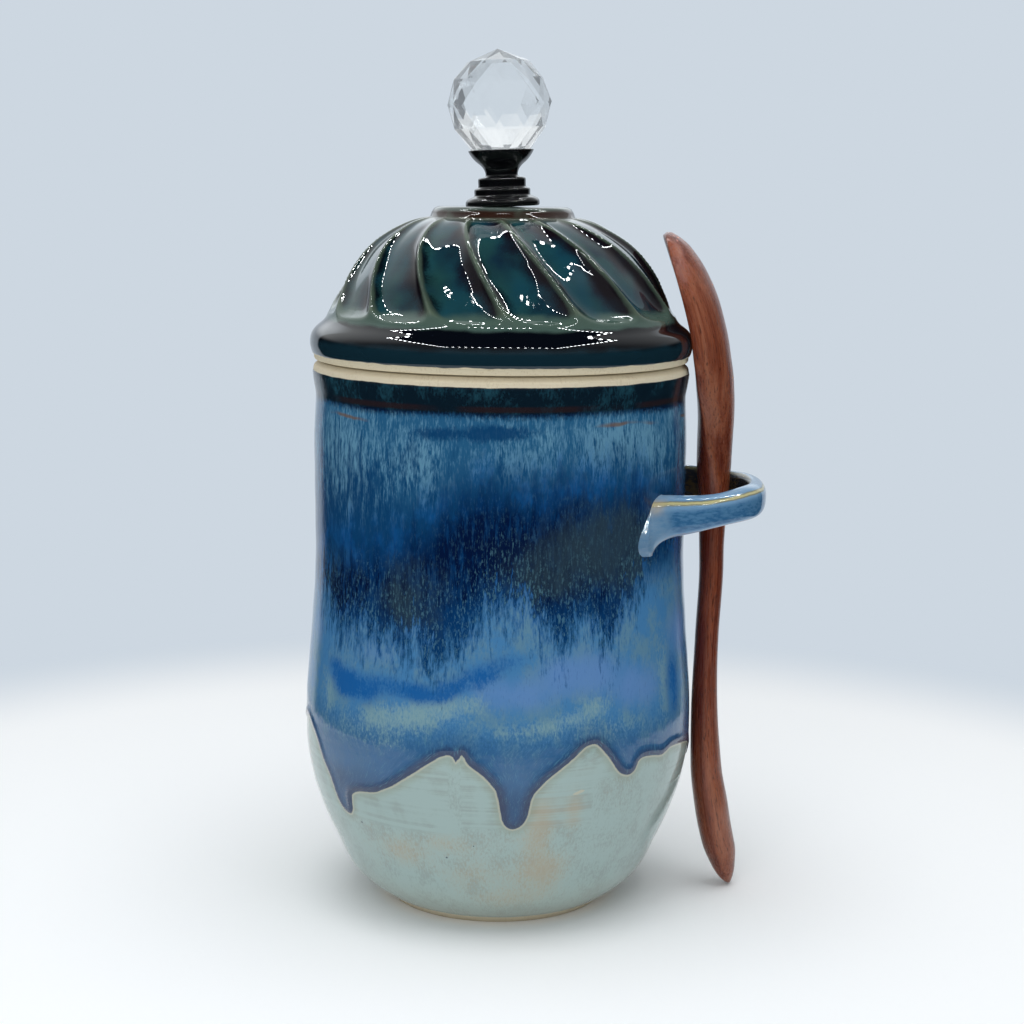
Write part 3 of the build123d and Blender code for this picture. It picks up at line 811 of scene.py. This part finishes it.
    # bare clay at the foot and the rim, plain liner inside
    rimEdge = rimHeight - pot["bareRim"]
    bare = f.ramp(z + blotch * 0.8, pot["bareFoot"] + glazeEdges["foot"], pot["bareFoot"]) + f.ramp(
        z + blotch * 0.6, rimEdge, rimEdge + glazeEdges["rim"])
    bare = bare.math("MINIMUM", bare, 1.0)
    clay = f.mix(f.ramp(stipple + blotch * 0.5, 0.0, 0.3) * 0.6, c["clay"], c["claySpeck"])
    inside = f.mix(f.ramp(z, *[rimHeight - below for below in glazeEdges["rimInside"]]), celadon, clay)
    body = f.mix(bare, body, clay)
    body = f.mix(f.ramp(outer, 0.4, 0.6), inside, body)
    rough = pot["roughness"] + pot["bareRoughness"] * bare
    return f.surface({
        "Base Color": body,
        "Roughness": rough,
        "IOR": 1.5,
        "Normal": f.bump(hair * 0.5 + streak + blotch * 2, 0.25, 0.0002),
    })


potShell = buildPot()
potShell.data.materials.append(potFinish())
print("pot built")


# lid

lidSize = {
    "columns": 480,
    "boss": [(2.4, 203.7), (10.0, 203.7), (18.2, 203.7, (1, 0)), (20.0, 202.9),
             (20.6, 201.3, (0, -1)), (20.9, 200.75, (1, -0.6))],
    "dome": [(20.9, 200.75, (1, -0.12)), (28.4, 198.8), (37.5, 193.4), (44.1, 186.0), (48.3, 178.4),
             (50.1, 173.5, (0.35, -1))],
    "bead": [(50.1, 173.5, (0.35, -1)), (51.1, 171.5, (0.7, -1)), (53.6, 169.2, (1, -0.9)),
             (55.3, 166.4, (0.2, -1)), (55.5, 164.6, (0, -1)), (55.2, 162.8),
             (54.8, 161.75, (-0.5, -1))],
    "edge": [(54.3, 161.6), (54.3, 160.4), (54.1, 160.05), (53.5, 159.9)],
    "ring": [(51.4, 159.85), (50.8, 159.7), (46.9, 159.6), (46.0, 157.0), (44.4, 152.9),
             (43.6, 152.7), (41.6, 152.7), (40.8, 153.3)],
    "hollow": [(40.7, 159.7, (0, 1)), (38.7, 183.5), (30.0, 191.5), (15.6, 197.7, (-1, 0.15)),
               (8.0, 197.7), (2.4, 197.7, (-1, 0))],
    "bossRows": 16,
    "domeRows": 70,
    "beadRows": 26,
    "hollowRows": 22,
    "flutes": 15,
    "start": 9.0,
    "twist": 29.0,
    "ridge": 0.5,
    "depth": 2.6,
    # how much of the depth is cut, from the foot of a flute to its top
    "deep": ([0, 0.20, 0.42, 0.66, 0.88, 1.0], [1.0, 1.0, 0.92, 0.64, 0.3, 0.1]),
    "bottom": 0.2,
    "corner": 2.6,
    "wallWidth": 0.88,
    "wallCurve": 3.4,
    "wallSoft": 0.015,
    "bareEdge": 161.9,
    "edgeSoft": 0.12,
    "roughness": 0.03,
    "bareRoughness": 0.6,
}


def fluteDepth(line, columns):
    # line runs from the crown down to the shoulder
    # returns how deep each point is cut, how far down its wall it is, and its place across the flute
    steps = np.linalg.norm(np.diff(line, axis=0), axis=1)
    below = np.concatenate([[0], np.cumsum(steps)])
    length = below[-1]
    up = length - below
    along = (up / length)[:, None]
    radius = line[:, :1]
    turn = math.radians(lidSize["twist"])
    slant = np.arctan(radius * turn / length)
    pitch = 2 * math.pi / lidSize["flutes"]
    middle = math.radians(lidSize["start"]) + pitch / 2 - turn * along
    away = (columns[None] - middle + pitch / 2) % pitch - pitch / 2
    across = np.abs(away) * radius * np.cos(slant)
    halfSpace = pitch / 2 * radius * np.cos(slant)
    ridge = lidSize["ridge"] * (0.5 + 0.5 * radius / radius.max())
    side = halfSpace - ridge - across
    foot = (up[:, None] - lidSize["bottom"]) / np.cos(slant)
    soft = lidSize["corner"] * radius / radius.max()
    side, foot = np.clip(side, -20, 20), np.clip(foot, -20, 20)
    inner = -soft * np.log(np.exp(-side / soft) + np.exp(-foot / soft))
    wide = lidSize["wallWidth"] * (halfSpace - ridge)
    t = np.clip((inner + 0.5 * soft) / wide, 0, 1)
    ease = lidSize["wallSoft"]
    t = (np.sqrt(t**2 + ease) - math.sqrt(ease)) / (math.sqrt(1 + ease) - math.sqrt(ease))
    wall = 1 - (1 - t) ** lidSize["wallCurve"]
    deep = np.interp(along, *lidSize["deep"])
    return lidSize["depth"] * deep * wall, wall * np.minimum(1, deep * 2), away / (pitch / 2)


def buildLid():
    columns = np.linspace(0, 2 * math.pi, lidSize["columns"], endpoint=False)
    boss = evenly(smoothLine(lidSize["boss"]), lidSize["bossRows"])
    dome = evenly(smoothLine(lidSize["dome"]), lidSize["domeRows"])
    bead = evenly(smoothLine(lidSize["bead"]), lidSize["beadRows"])
    edge = np.array(lidSize["edge"])
    ring = np.array(lidSize["ring"])
    hollow = evenly(smoothLine(lidSize["hollow"]), lidSize["hollowRows"])
    line = np.concatenate([boss, dome[1:], bead[1:], edge, ring, hollow])
    rows = turned(line, columns)
    slope = unitSteps(dome)
    normal = np.stack([-slope[:, 1], slope[:, 0]], axis=1)
    depth, wall, side = fluteDepth(dome, columns)
    carve = np.zeros(rows.shape[:2])
    leaning = np.zeros(rows.shape[:2])
    cut = depth[1:]
    fluted = slice(len(boss), len(boss) + len(cut))
    rows[fluted, :, 0] -= cut * normal[1:, :1] * np.sin(columns)
    rows[fluted, :, 1] += cut * normal[1:, :1] * np.cos(columns)
    rows[fluted, :, 2] -= cut * normal[1:, 1:]
    carve[fluted] = wall[1:]
    leaning[fluted] = side[1:]
    outer = np.zeros(rows.shape[:2])
    outer[:len(boss) + len(dome) + len(bead) + len(edge) - 2] = 1
    values = {"carve": carve, "leaning": leaning, "outer": outer}
    piece = gridPiece("lidShell", rows, loop=True, values=values)
    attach(piece, "lid")
    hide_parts("lid")
    return piece


lidColours = {
    "fluteShadow": "#040a12", "teal": "#143c49", "green": "#1d3f3d", "navy": "#0a1c33",
    "maroon": "#130c10", "olive": "#3f4d42", "crest": "#5c6959", "shoulder": "#43574f",
    "beadDarkReflection": "#05080f", "beadTealReflection": "#102731", "bossTop": "#3d4843", "bossSide": "#2c1b15",
    "bossRim": "#4c564d", "clay": "#d6c9ab", "claySpeck": "#b9a684",
}
lidGrain = {"cloud": 11, "blotch": 6, "grain": 0.6}
# heights between which one colour gives way to the next
lidHeights = {
    "seat": (160.8, 160.2),
    "beadTealReflection": (167.6, 165.4),
    "bead": (172.2, 171.0),
    "flutes": (171.0, 174.0),
    "shoulder": (176.4, 174.2),
    "boss": (199.8, 201.2),
    "bossTop": (202.2, 203.2),
}


def lidFinish():
    f = newFinish("lidGlaze")
    c = palette(lidColours)
    size, level = lidGrain, lidHeights
    place = f.place()
    z = f.part(place, "Z")
    carve, leaning, outside = [f.attribute(name) for name in ("carve", "leaning", "outer")]
    cloud = f.noise(f.squeeze(place, 1, 1, 0.5), size["cloud"], 1) - 0.5
    blotch = f.noise(place, size["blotch"], 1) - 0.5
    grain = f.noise(place, size["grain"], 2, 0.5) - 0.5

    # flute floors: teal at the left, wine dark at the right, some of them navy
    side = leaning + blotch * 0.7 + grain * 0.25
    pool = f.mix(f.ramp(cloud + grain * 0.2, -0.25, 0.25), c["teal"], c["green"])
    pool = f.mix(f.ramp(cloud * 0.8 + side * 0.3 + blotch * 0.4, -0.2, 0.4), pool, c["navy"])
    skin = f.mix(f.ramp(side + cloud, 0.0, 0.9) * 0.95, pool, c["maroon"])
    # painted shadow: the left wall of each flute, on the shaded side of its ridge, goes very dark
    skin = f.mix(f.ramp(side, -0.5, -0.95), skin, c["fluteShadow"])

    # the glaze thins to olive on the ridges and on the shoulder
    edge = carve + blotch * 0.2 + grain * 0.1
    opened = f.ramp(z, *level["flutes"])
    skin = f.mix(f.ramp(edge, 0.55, 0.25) * opened * 0.8, skin, c["olive"])
    skin = f.mix(f.ramp(edge, 0.28, 0.05) * opened * (0.6 + cloud * 1.2), skin, c["crest"])
    skin = f.mix(f.ramp(z + blotch * 3, *level["shoulder"]) * 0.85, skin, c["shoulder"])

    # painted reflection: the bead's upper half is dark for the dim room it mirrors, its lower half teal for
    # the pale floor
    bead = f.mix(f.ramp(z + blotch * 2, *level["beadTealReflection"]), c["beadDarkReflection"], c["beadTealReflection"])
    skin = f.mix(f.ramp(z + blotch * 1.5, *level["bead"]), skin, bead)
    boss = f.mix(f.ramp(z + cloud, *level["bossTop"]), c["bossSide"], c["bossTop"])
    boss = f.mix(f.ramp(blotch, 0.05, 0.2) * 0.5, boss, c["bossRim"])
    skin = f.mix(f.ramp(z, *level["boss"]), skin, boss)

    edge, soft = lidSize["bareEdge"], lidSize["edgeSoft"]
    bare = f.ramp(z + blotch * 0.9, edge + soft, edge - soft) * outside
    seat = f.ramp(z, *level["seat"]) * f.ramp(outside, 0.6, 0.4)
    clay = f.mix(f.ramp(grain + blotch * 0.5, 0.0, 0.3) * 0.6, c["clay"], c["claySpeck"])
    skin = f.mix(bare, skin, clay)
    skin = f.mix(seat, skin, clay)
    rough = lidSize["roughness"] + lidSize["bareRoughness"] * (bare + seat)
    relief = f.bump(blotch, 0.1, 0.0002)
    return f.surface({"Base Color": skin, "Roughness": rough, "IOR": 1.5, "Normal": relief})


lidShell = buildLid()
lidShell.data.materials.append(lidFinish())
print("lid built")


# spoon loop

loopSize = {
    # the strap's centre line, from its front root round to its back one
    "path": [(43.0, -25.8, 117.8), (49.6, -26.6, 118.8), (56.5, -26.4, 119.5), (63.5, -24.2, 120.5),
             (69.8, -19.2, 121.4), (73.7, -12.0, 121.7), (74.9, -2.0, 121.7), (73.9, 8.0, 121.6),
             (70.5, 17.0, 121.3), (64.5, 23.5, 121.1), (55.2, 27.0, 120.7), (43.0, 28.6, 120.2)],
    "wall": 54.4,
    "halfTall": 4.5,
    "halfThick": 2.9,
    "rootTall": 1.0,
    "rootThick": 0.5,
    "rootReach": 26.0,
    "topFall": 0.30,
    "flare": 6.5,
    "flareAngle": -46.0,
    "flareLeast": 0.08,
    "squareness": 2.7,
    "wave": 0.14,
    "waveLength": 4.3,
    "lineAngle": 50.0,
    "innerAngle": 128.0,
    "lowAngle": 300.0,
    "girth": 26.0,
    "around": 56,
    "along": 190,
    "rootRows": (59, 3.0),  # within this radius the rows stand this much closer
    "roughness": 0.06,
}
loopGrain = {"cloud": 6, "hair": 0.8, "grain": 0.5}


def buildLoop():
    size = loopSize
    plan = smoothLine([knot[:2] for knot in size["path"]])
    level = smoothLine([(10 * i, knot[2]) for i, knot in enumerate(size["path"])])[:, 1:]
    rootRadius, closer = size["rootRows"]
    path = evenly(np.hstack([plan, level]), size["along"],
                  lambda p: closer if math.hypot(p[0], p[1]) < rootRadius else 1.0)
    steps = np.linalg.norm(np.diff(path, axis=0), axis=1)
    travel = np.concatenate([[0], np.cumsum(steps)])
    left = np.minimum(travel, travel[-1] - travel)
    way = unitSteps(path[:, :2])
    out = np.stack([way[:, 1], -way[:, 0]], axis=1)
    swell = 1 - eased(left, 6.0, size["rootReach"])
    wave = size["wave"] * np.sin(travel / size["waveLength"])
    tall = size["halfTall"] + size["rootTall"] * swell + wave
    thick = size["halfThick"] + size["rootThick"] * swell + wave * 0.3
    phi = np.linspace(0, 2 * math.pi, size["around"], endpoint=False)
    power = 2 / size["squareness"]
    cosine = np.sign(np.cos(phi)) * np.abs(np.cos(phi)) ** power
    sine = np.sign(np.sin(phi)) * np.abs(np.sin(phi)) ** power
    outward = thick[:, None] * cosine
    upward = tall[:, None] * sine - size["topFall"] * outward * sine * (sine > 0)

    # each root flares where it meets the wall, most of all outward and down
    x, y = path[:, :1] + out[:, :1] * outward, path[:, 1:2] + out[:, 1:] * outward
    reach = np.hypot(x, y) - size["wall"]
    radius = size["flare"]
    curve = radius * (1 - np.sqrt(1 - (1 - np.clip(reach / radius, 0, 1)) ** 2))
    facing = np.maximum(0, np.cos(phi - math.radians(size["flareAngle"])))
    share = size["flareLeast"] + (1 - size["flareLeast"]) * facing**4
    outward += curve * share * np.cos(phi)
    upward += curve * share * np.sin(phi)
    rows = np.stack([
        path[:, :1] + out[:, :1] * outward, path[:, 1:2] + out[:, 1:] * outward, path[:, 2:] + upward,
    ], axis=2)
    # distance round the strap from each of the lines that run along it, in millimetres
    perDegree = size["girth"] / 360
    values = {}
    for name, angle in (("lineMm", "lineAngle"), ("innerMm", "innerAngle"), ("lowMm", "lowAngle")):
        away = (np.degrees(phi) - size[angle] + 180) % 360 - 180
        values[name] = np.repeat(away[None] * perDegree, len(path), axis=0)
    values["facing"] = np.repeat(np.cos(phi)[None], len(path), axis=0)
    values["upper"] = np.repeat(np.sin(phi)[None], len(path), axis=0)
    values["fromWall"] = reach
    piece = gridPiece("loopStrap", rows, caps=True, values=values)
    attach(piece, "pot")
    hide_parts("spoon_loop")
    return piece


loopColours = {
    "blue": "#4a7598", "dark": "#2a5a83", "light": "#7b9fbe", "gold": "#b5ae80", "olive": "#77734f",
    "inside": "#2b2c30", "shadeBronze": "#4a3f2a", "rust": "#9c8f92", "root": "#7894ab",
    "tan": "#ab9f88",
}


def loopFinish():
    f = newFinish("loopGlaze")
    c = palette(loopColours)
    place = f.place()
    line, inner, low, facing, upper, wall = [
        f.attribute(name) for name in ("lineMm", "innerMm", "lowMm", "facing", "upper", "fromWall")]
    cloud = f.noise(place, loopGrain["cloud"], 3, 0.5, 0.4) - 0.5
    hair = f.noise(f.squeeze(place, 0.35, 0.35, 1), loopGrain["hair"], 3, 0.6) - 0.5
    grain = f.noise(place, loopGrain["grain"], 2, 0.5) - 0.5

    skin = f.mix(f.ramp(cloud * 0.7 + hair, -0.1, 0.14) * 0.8, c["blue"], c["dark"])
    rims = f.ramp(abs(line + 0.4), 2.6, 0.6) + f.ramp(abs(low), 1.8, 0.3)
    skin = f.mix(rims.math("MINIMUM", rims, 1.0) * (0.75 + cloud), skin, c["light"])
    skin = f.mix(f.ramp(upper, 0.86, 0.97) * 0.6, skin, c["light"])
    skin = f.mix(f.ramp(abs(low + grain), 0.5, 0.2) * 0.5, skin, c["rust"])
    # painted shade: the strap's face towards the pot wall is painted dark grey and brown
    inside = f.ramp(facing, -0.35, -0.75)
    skin = f.mix(inside, skin, f.mix(f.ramp(cloud + hair, -0.05, 0.1), c["inside"], c["shadeBronze"]))
    near = f.ramp(wall + cloud * 3, 6.5, 1.5) * (1 - inside)
    skin = f.mix(near * (0.55 + hair * 1.5), skin, c["root"])
    wander = cloud * 1.1 + grain * 0.3
    breaks = f.ramp(abs(line + wander), 1.15, 0.65) + f.ramp(abs(inner + wander), 0.9, 0.5) * 0.8
    skin = f.mix(breaks.math("MINIMUM", breaks, 1.0) * 0.85, skin, c["olive"])
    skin = f.mix(f.ramp(abs(line + wander), 0.6, 0.25), skin, c["gold"])
    patch = f.ramp(wall + grain, 4.5, 1.0) * f.ramp(abs(line + 0.6), 3.2, 1.0)
    skin = f.mix(patch * (0.5 + cloud), skin, c["tan"])
    relief = f.bump(cloud, 0.2, 0.0003)
    return f.surface({
        "Base Color": skin,
        "Roughness": loopSize["roughness"],
        "IOR": 1.5,
        "Normal": relief,
    })


loopStrap = buildLoop()
loopStrap.data.materials.append(loopFinish())
print("loop built")


# spoon

spoonSize = {
    "bellyRadius": 57.3, "bellyHeight": 50.0, "bellyGap": 0.5,
    "beadRadius": 55.2, "beadHeight": 166.1, "beadGap": 0.9,
    "loopHeight": 118.0,
    "halfWidth": 16.5, "lip": 2.0, "depth": 8.0, "hollowLength": 43.0, "hollowUp": 4.0, "lean": 11.5,
    "foot": 0.7,
    "turn": 8.0, "roll": 7.5,
    # how far it moves outward, by height
    "shift": [(0, 0.6), (50, 0.2), (130, -0.3), (150, 0.1), (160, 0.7), (167, 1.2), (176, 0.8),
              (197, -0.8)],
    "rows": 190, "around": 72,
    "endRows": 0.18,  # how strongly the rows draw together at the two ends
    "lipSoft": 0.5,
    "frontShare": (0.03, 0.5),
    "roughness": 0.24, "roughRange": 0.2,
}


def spoonStations():
    # height, front edge outward of the leaning line, thickness, half width
    # and the share of the thickness in front
    s = spoonSize
    halfIn = s["halfWidth"] - s["lip"]
    low = (s["bellyRadius"] + s["bellyGap"], s["bellyHeight"])
    high = (math.sqrt((s["beadRadius"] + s["beadGap"]) ** 2 - halfIn**2), s["beadHeight"])
    slope = (high[0] - low[0]) / (high[1] - low[1])
    rim = -math.tan(math.radians(s["lean"])) - slope
    foot, belly, loopZ, bead = s["foot"], s["bellyHeight"], s["loopHeight"], s["beadHeight"]
    wide = s["halfWidth"]
    stations = np.array([
        (foot, 9.9, 1.6, 1.2, 0.5),
        (foot + 1.8, 8.0, 4.2, 3.0, 0.5),
        (foot + 5.6, 5.7, 7.2, 5.0, 0.5),
        (foot + 12.5, 3.0, 9.9, 6.8, 0.5),
        (foot + 23.5, 1.0, 10.2, 7.5, 0.5),
        (belly - 12.5, -0.1, 9.3, 7.0, 0.5),
        (belly + 2.5, 0.2, 8.1, 6.2, 0.5),
        (0.6 * belly + 0.4 * loopZ, 1.8, 7.0, 5.6, 0.5),
        (0.25 * belly + 0.75 * loopZ, 3.4, 7.2, 5.5, 0.5),
        (loopZ, 3.4, 8.5, 6.0, 0.5),
        (loopZ + 12, 2.9, 10.2, 8.0, 0.42),
        (bead - 24, 3.1, 10.6, 11.0, 0.2),
        (bead - 12, -12 * rim, 11.2, 14.6, 0.06),
        (bead, 0, 10.9, wide, 0.04),
        (bead + 11, 11 * rim, 10.6, 0.95 * wide, 0.04),
        (bead + 20, 20 * rim - 0.4, 9.4, 0.79 * wide, 0.06),
        (bead + 26.5, 26.5 * rim - 0.9, 7.2, 0.56 * wide, 0.15),
        (bead + 29.8, 30 * rim - 0.9, 4.2, 0.3 * wide, 0.3),
        (bead + 30.7, 31 * rim + 0.4, 1.5, 0.08 * wide, 0.5),
    ])
    return stations, low, slope, rim


def smoothThrough(x, xs, ys):
    # a smooth reading of a table, level at its own peaks
    steps = np.diff(ys) / np.diff(xs)
    before, after = np.append(steps[:1], steps), np.append(steps, steps[-1:])
    same = before * after > 0
    slopes = np.where(same, 2 * before * after / np.where(same, before + after, 1), 0)
    k = np.clip(np.searchsorted(xs, x) - 1, 0, len(xs) - 2)
    width = xs[k + 1] - xs[k]
    t = (x - xs[k]) / width
    return (ys[k] * (2 * t**3 - 3 * t**2 + 1) + slopes[k] * width * (t**3 - 2 * t**2 + t)
            + ys[k + 1] * (3 * t**2 - 2 * t**3) + slopes[k + 1] * width * (t**3 - t**2))


def buildSpoon():
    s = spoonSize
    stations, low, slope, rim = spoonStations()
    heights = stations[:, 0]
    u = np.linspace(0, 1, s["rows"])
    span = heights[-1] - heights[0]
    ease = np.sin((u - 0.5) * math.pi) / 2 + 0.5
    z = heights[0] + span * ((1 - s["endRows"]) * u + s["endRows"] * ease)
    front, thick, half, share = [smoothThrough(z, heights, stations[:, i]) for i in range(1, 5)]
    share = np.clip(share, *s["frontShare"])
    leanX = low[0] + slope * (z - low[1])
    seam = leanX + front + thick * share
    theta = np.linspace(0, 2 * math.pi, s["around"], endpoint=False)
    cosine, sine = np.cos(theta), np.sin(theta)
    reach = np.where(cosine > 0, (thick * (1 - share))[:, None], (thick * share)[:, None])
    rows = np.stack([
        seam[:, None] + reach * cosine, half[:, None] * sine + 0 * reach, z[:, None] + 0 * reach,
    ], axis=2)

    # the hollow, a barrel laid along the bowl's rim
    halfIn = s["halfWidth"] - s["lip"]
    tool = (halfIn**2 + s["depth"] ** 2) / (2 * s["depth"])
    axis = s["depth"] - tool
    middleZ = s["beadHeight"] + s["hollowUp"]
    lean = math.radians(s["lean"])
    origin = np.array([low[0] + slope * (middleZ - low[1]) + s["hollowUp"] * rim, 0, middleZ])
    inward = np.array([math.cos(lean), 0, math.sin(lean)])
    upAlong = np.array([-math.sin(lean), 0, math.cos(lean)])
    local = rows - origin
    deep, along, side = local @ inward, local @ upAlong, rows[:, :, 1]
    halfLong = s["hollowLength"] / 2
    arc = (halfLong**2 + s["depth"] ** 2) / (2 * s["depth"])
    reachArc = np.sqrt(np.maximum(arc**2 - along**2, 0)) + s["depth"] - arc
    radius = np.maximum(reachArc - axis, 0)
    hollow = axis + np.sqrt(np.maximum(radius**2 - side**2, 0))
    soft = s["lipSoft"]
    blended = soft * np.logaddexp(deep / soft, hollow / soft)
    scooped = (cosine[None] < 0.02) & (radius > np.abs(side)) & (hollow > deep - 3)
    rows = rows + np.where(scooped, blended - deep, 0)[:, :, None] * inward
    grain = rows - np.stack([seam, 0 * z, 0 * z], axis=1)[:, None]

    # rolled about its own length, shifted outward by height, then turned round the pot
    roll = math.radians(s["roll"])
    away = rows[:, :, 0] - seam[:, None]
    rows = np.stack([seam[:, None] + away * math.cos(roll) + rows[:, :, 1] * math.sin(roll),
                     rows[:, :, 1] * math.cos(roll) - away * math.sin(roll), rows[:, :, 2]], axis=2)
    shift = np.array(s["shift"])
    rows[:, :, 0] += smoothThrough(z, shift[:, 0], shift[:, 1])[:, None]
    c, t = math.cos(math.radians(s["turn"])), math.sin(math.radians(s["turn"]))
    x, y = rows[:, :, 0], rows[:, :, 1]
    rows = np.stack([x * c - y * t, x * t + y * c, rows[:, :, 2]], axis=2)
    piece = gridPiece("spoonBlade", rows, caps=True, values={"grainPoint": grain})
    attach(piece, "spoon")
    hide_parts("spoon")
    return piece


woodColours = {"mid": "#84442a", "dark": "#5c2413", "light": "#a06a50", "pore": "#35120a"}
woodGrain = {"band": 2.6, "wide": 10, "fibre": 0.5, "pore": 0.36}


def woodFinish():
    f = newFinish("oiledWood")
    c = palette(woodColours)
    point = f.attribute("grainPoint", "Vector")
    band = f.noise(f.squeeze(point, 1, 1, 0.04), woodGrain["band"], 4, 0.6, 0.8) - 0.5
    wide = f.noise(f.squeeze(point, 1, 1, 0.06), woodGrain["wide"], 3, 0.5, 0.4) - 0.5
    fibre = f.noise(f.squeeze(point, 1, 1, 0.05), woodGrain["fibre"], 3, 0.65) - 0.5
    pore = f.noise(f.squeeze(point, 1, 1, 0.11), woodGrain["pore"], 2, 0.5) - 0.5
    skin = f.mix(f.ramp(band + wide + fibre * 0.4, -0.2, 0.16), c["dark"], c["mid"])
    skin = f.mix(f.ramp(wide + band * 0.6, 0.0, 0.25) * 0.5, skin, c["light"])
    skin = f.mix(f.ramp(fibre, 0.0, 0.18) * 0.5, skin, c["dark"])
    pores = f.ramp(pore + band * 0.3, 0.11, 0.18)
    skin = f.mix(pores * 0.75, skin, c["pore"])
    rough = spoonSize["roughness"] + spoonSize["roughRange"] * f.ramp(fibre, -0.1, 0.2)
    sunk = f.bump(0.0 - pores - fibre, 0.35, 0.00012)
    return f.surface({"Base Color": skin, "Roughness": rough, "IOR": 1.5, "Normal": sunk})


spoonBlade = buildSpoon()
spoonBlade.data.materials.append(woodFinish())
print("spoon built")


# knob and its fastening

# the knob stands a little askew on the lid
knobLean = {"degrees": -2.5, "pivot": 203.7}


def leanKnob(rows):
    turn = math.radians(knobLean["degrees"])
    c, t = math.cos(turn), math.sin(turn)
    x, up = rows[..., 0], rows[..., 2] - knobLean["pivot"]
    return np.stack([x * c + up * t, rows[..., 1], knobLean["pivot"] + up * c - x * t], axis=-1)


spindle = {
    "rows": 150,
    "columns": 128,
    "profile": [
        (2.2, 203.7), (9.9, 203.7), (10.5, 203.9), (10.7, 204.5), (10.55, 205.3), (9.9, 206.0),
        (8.9, 206.4), (8.5, 206.6), (8.1, 206.9), (8.1, 208.2), (7.95, 208.7), (7.5, 208.95),
        (7.1, 209.05), (6.9, 209.3), (6.9, 211.2), (6.75, 211.7), (6.3, 211.95), (5.5, 212.05),
        (4.85, 212.3), (4.65, 212.8), (4.85, 213.7), (5.3, 214.6), (6.1, 215.5), (7.3, 216.5),
        (8.2, 217.5), (8.9, 218.5), (9.35, 219.3), (9.45, 219.6), (9.4, 219.68), (9.3, 219.7),
        (8.85, 219.7), (8.8, 219.6), (8.8, 218.75), (8.7, 218.7), (4.0, 218.7), (2.3, 218.7),
        (2.2, 217.0),
    ],
}


def buildKnobBase():
    line = evenly(smoothLine(spindle["profile"], steps=4), spindle["rows"])
    columns = np.linspace(0, 2 * math.pi, spindle["columns"], endpoint=False)
    piece = gridPiece("knobSpindle", leanKnob(turned(line, columns)), loop=True)
    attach(piece, "lid")
    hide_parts("knob_base")
    return piece


# each one's finish: name, colour, roughness and metallic
spindleFinish = ("blackMetal", "#060709", 0.17, 0.0)
knobFinishes = {
    "knob_screw": ("zincSteel", "#b4b4b6", 0.3, 1.0),
    "knob_washer": ("zincWasher", "#a8a8ab", 0.36, 1.0),
    "knob_gasket": ("blackRubber", "#121212", 0.7, 0.0),
}


def plainFinish(name, colour, rough, metallic):
    f = newFinish(name)
    place = f.place()
    mottle = f.noise(place, 1.6, 4, 0.6)
    fine = f.noise(place, 0.3, 2, 0.5)
    base = linear(colour)
    shade = f.mix(f.ramp(mottle, 0.4, 0.7) * 0.5, base, tuple(1.6 * v for v in base[:3]) + (1,))
    return f.surface({
        "Base Color": shade,
        "Roughness": rough + 0.12 * (mottle - 0.5),
        "Metallic": metallic,
        "Normal": f.bump(fine, 0.15, 0.00005),
    })


def hardware():
    for nodeName, settings in knobFinishes.items():
        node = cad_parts[nodeName]
        node.data.materials.clear()
        node.data.materials.append(plainFinish(*settings))


def buildCrystal():
    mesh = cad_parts["knob_crystal"].data.copy()
    mesh.name = "crystalBall"
    places = np.empty(len(mesh.vertices) * 3)
    mesh.vertices.foreach_get("co", places)
    leaned = leanKnob(places.reshape(-1, 3) / mm)
    mesh.vertices.foreach_set("co", (leaned * mm).ravel())
    mesh.materials.clear()
    piece = bpy.data.objects.new("crystalBall", mesh)
    bpy.context.scene.collection.objects.link(piece)
    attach(piece, "lid")
    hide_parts("knob_crystal")
    return piece


glass = {
    "Base Color": (0.975, 0.99, 0.985, 1),
    "Roughness": 0.0,
    "IOR": 1.47,
    "Transmission Weight": 1.0,
    "Alpha": 0.68,
}


def glassFinish():
    return newFinish("cutGlass").surface(glass)


knobSpindle = buildKnobBase()
knobSpindle.data.materials.append(plainFinish(*spindleFinish))
hardware()
crystalBall = buildCrystal()
crystalBall.data.materials.append(glassFinish())
print("knob finished")

bpy.context.view_layer.update()
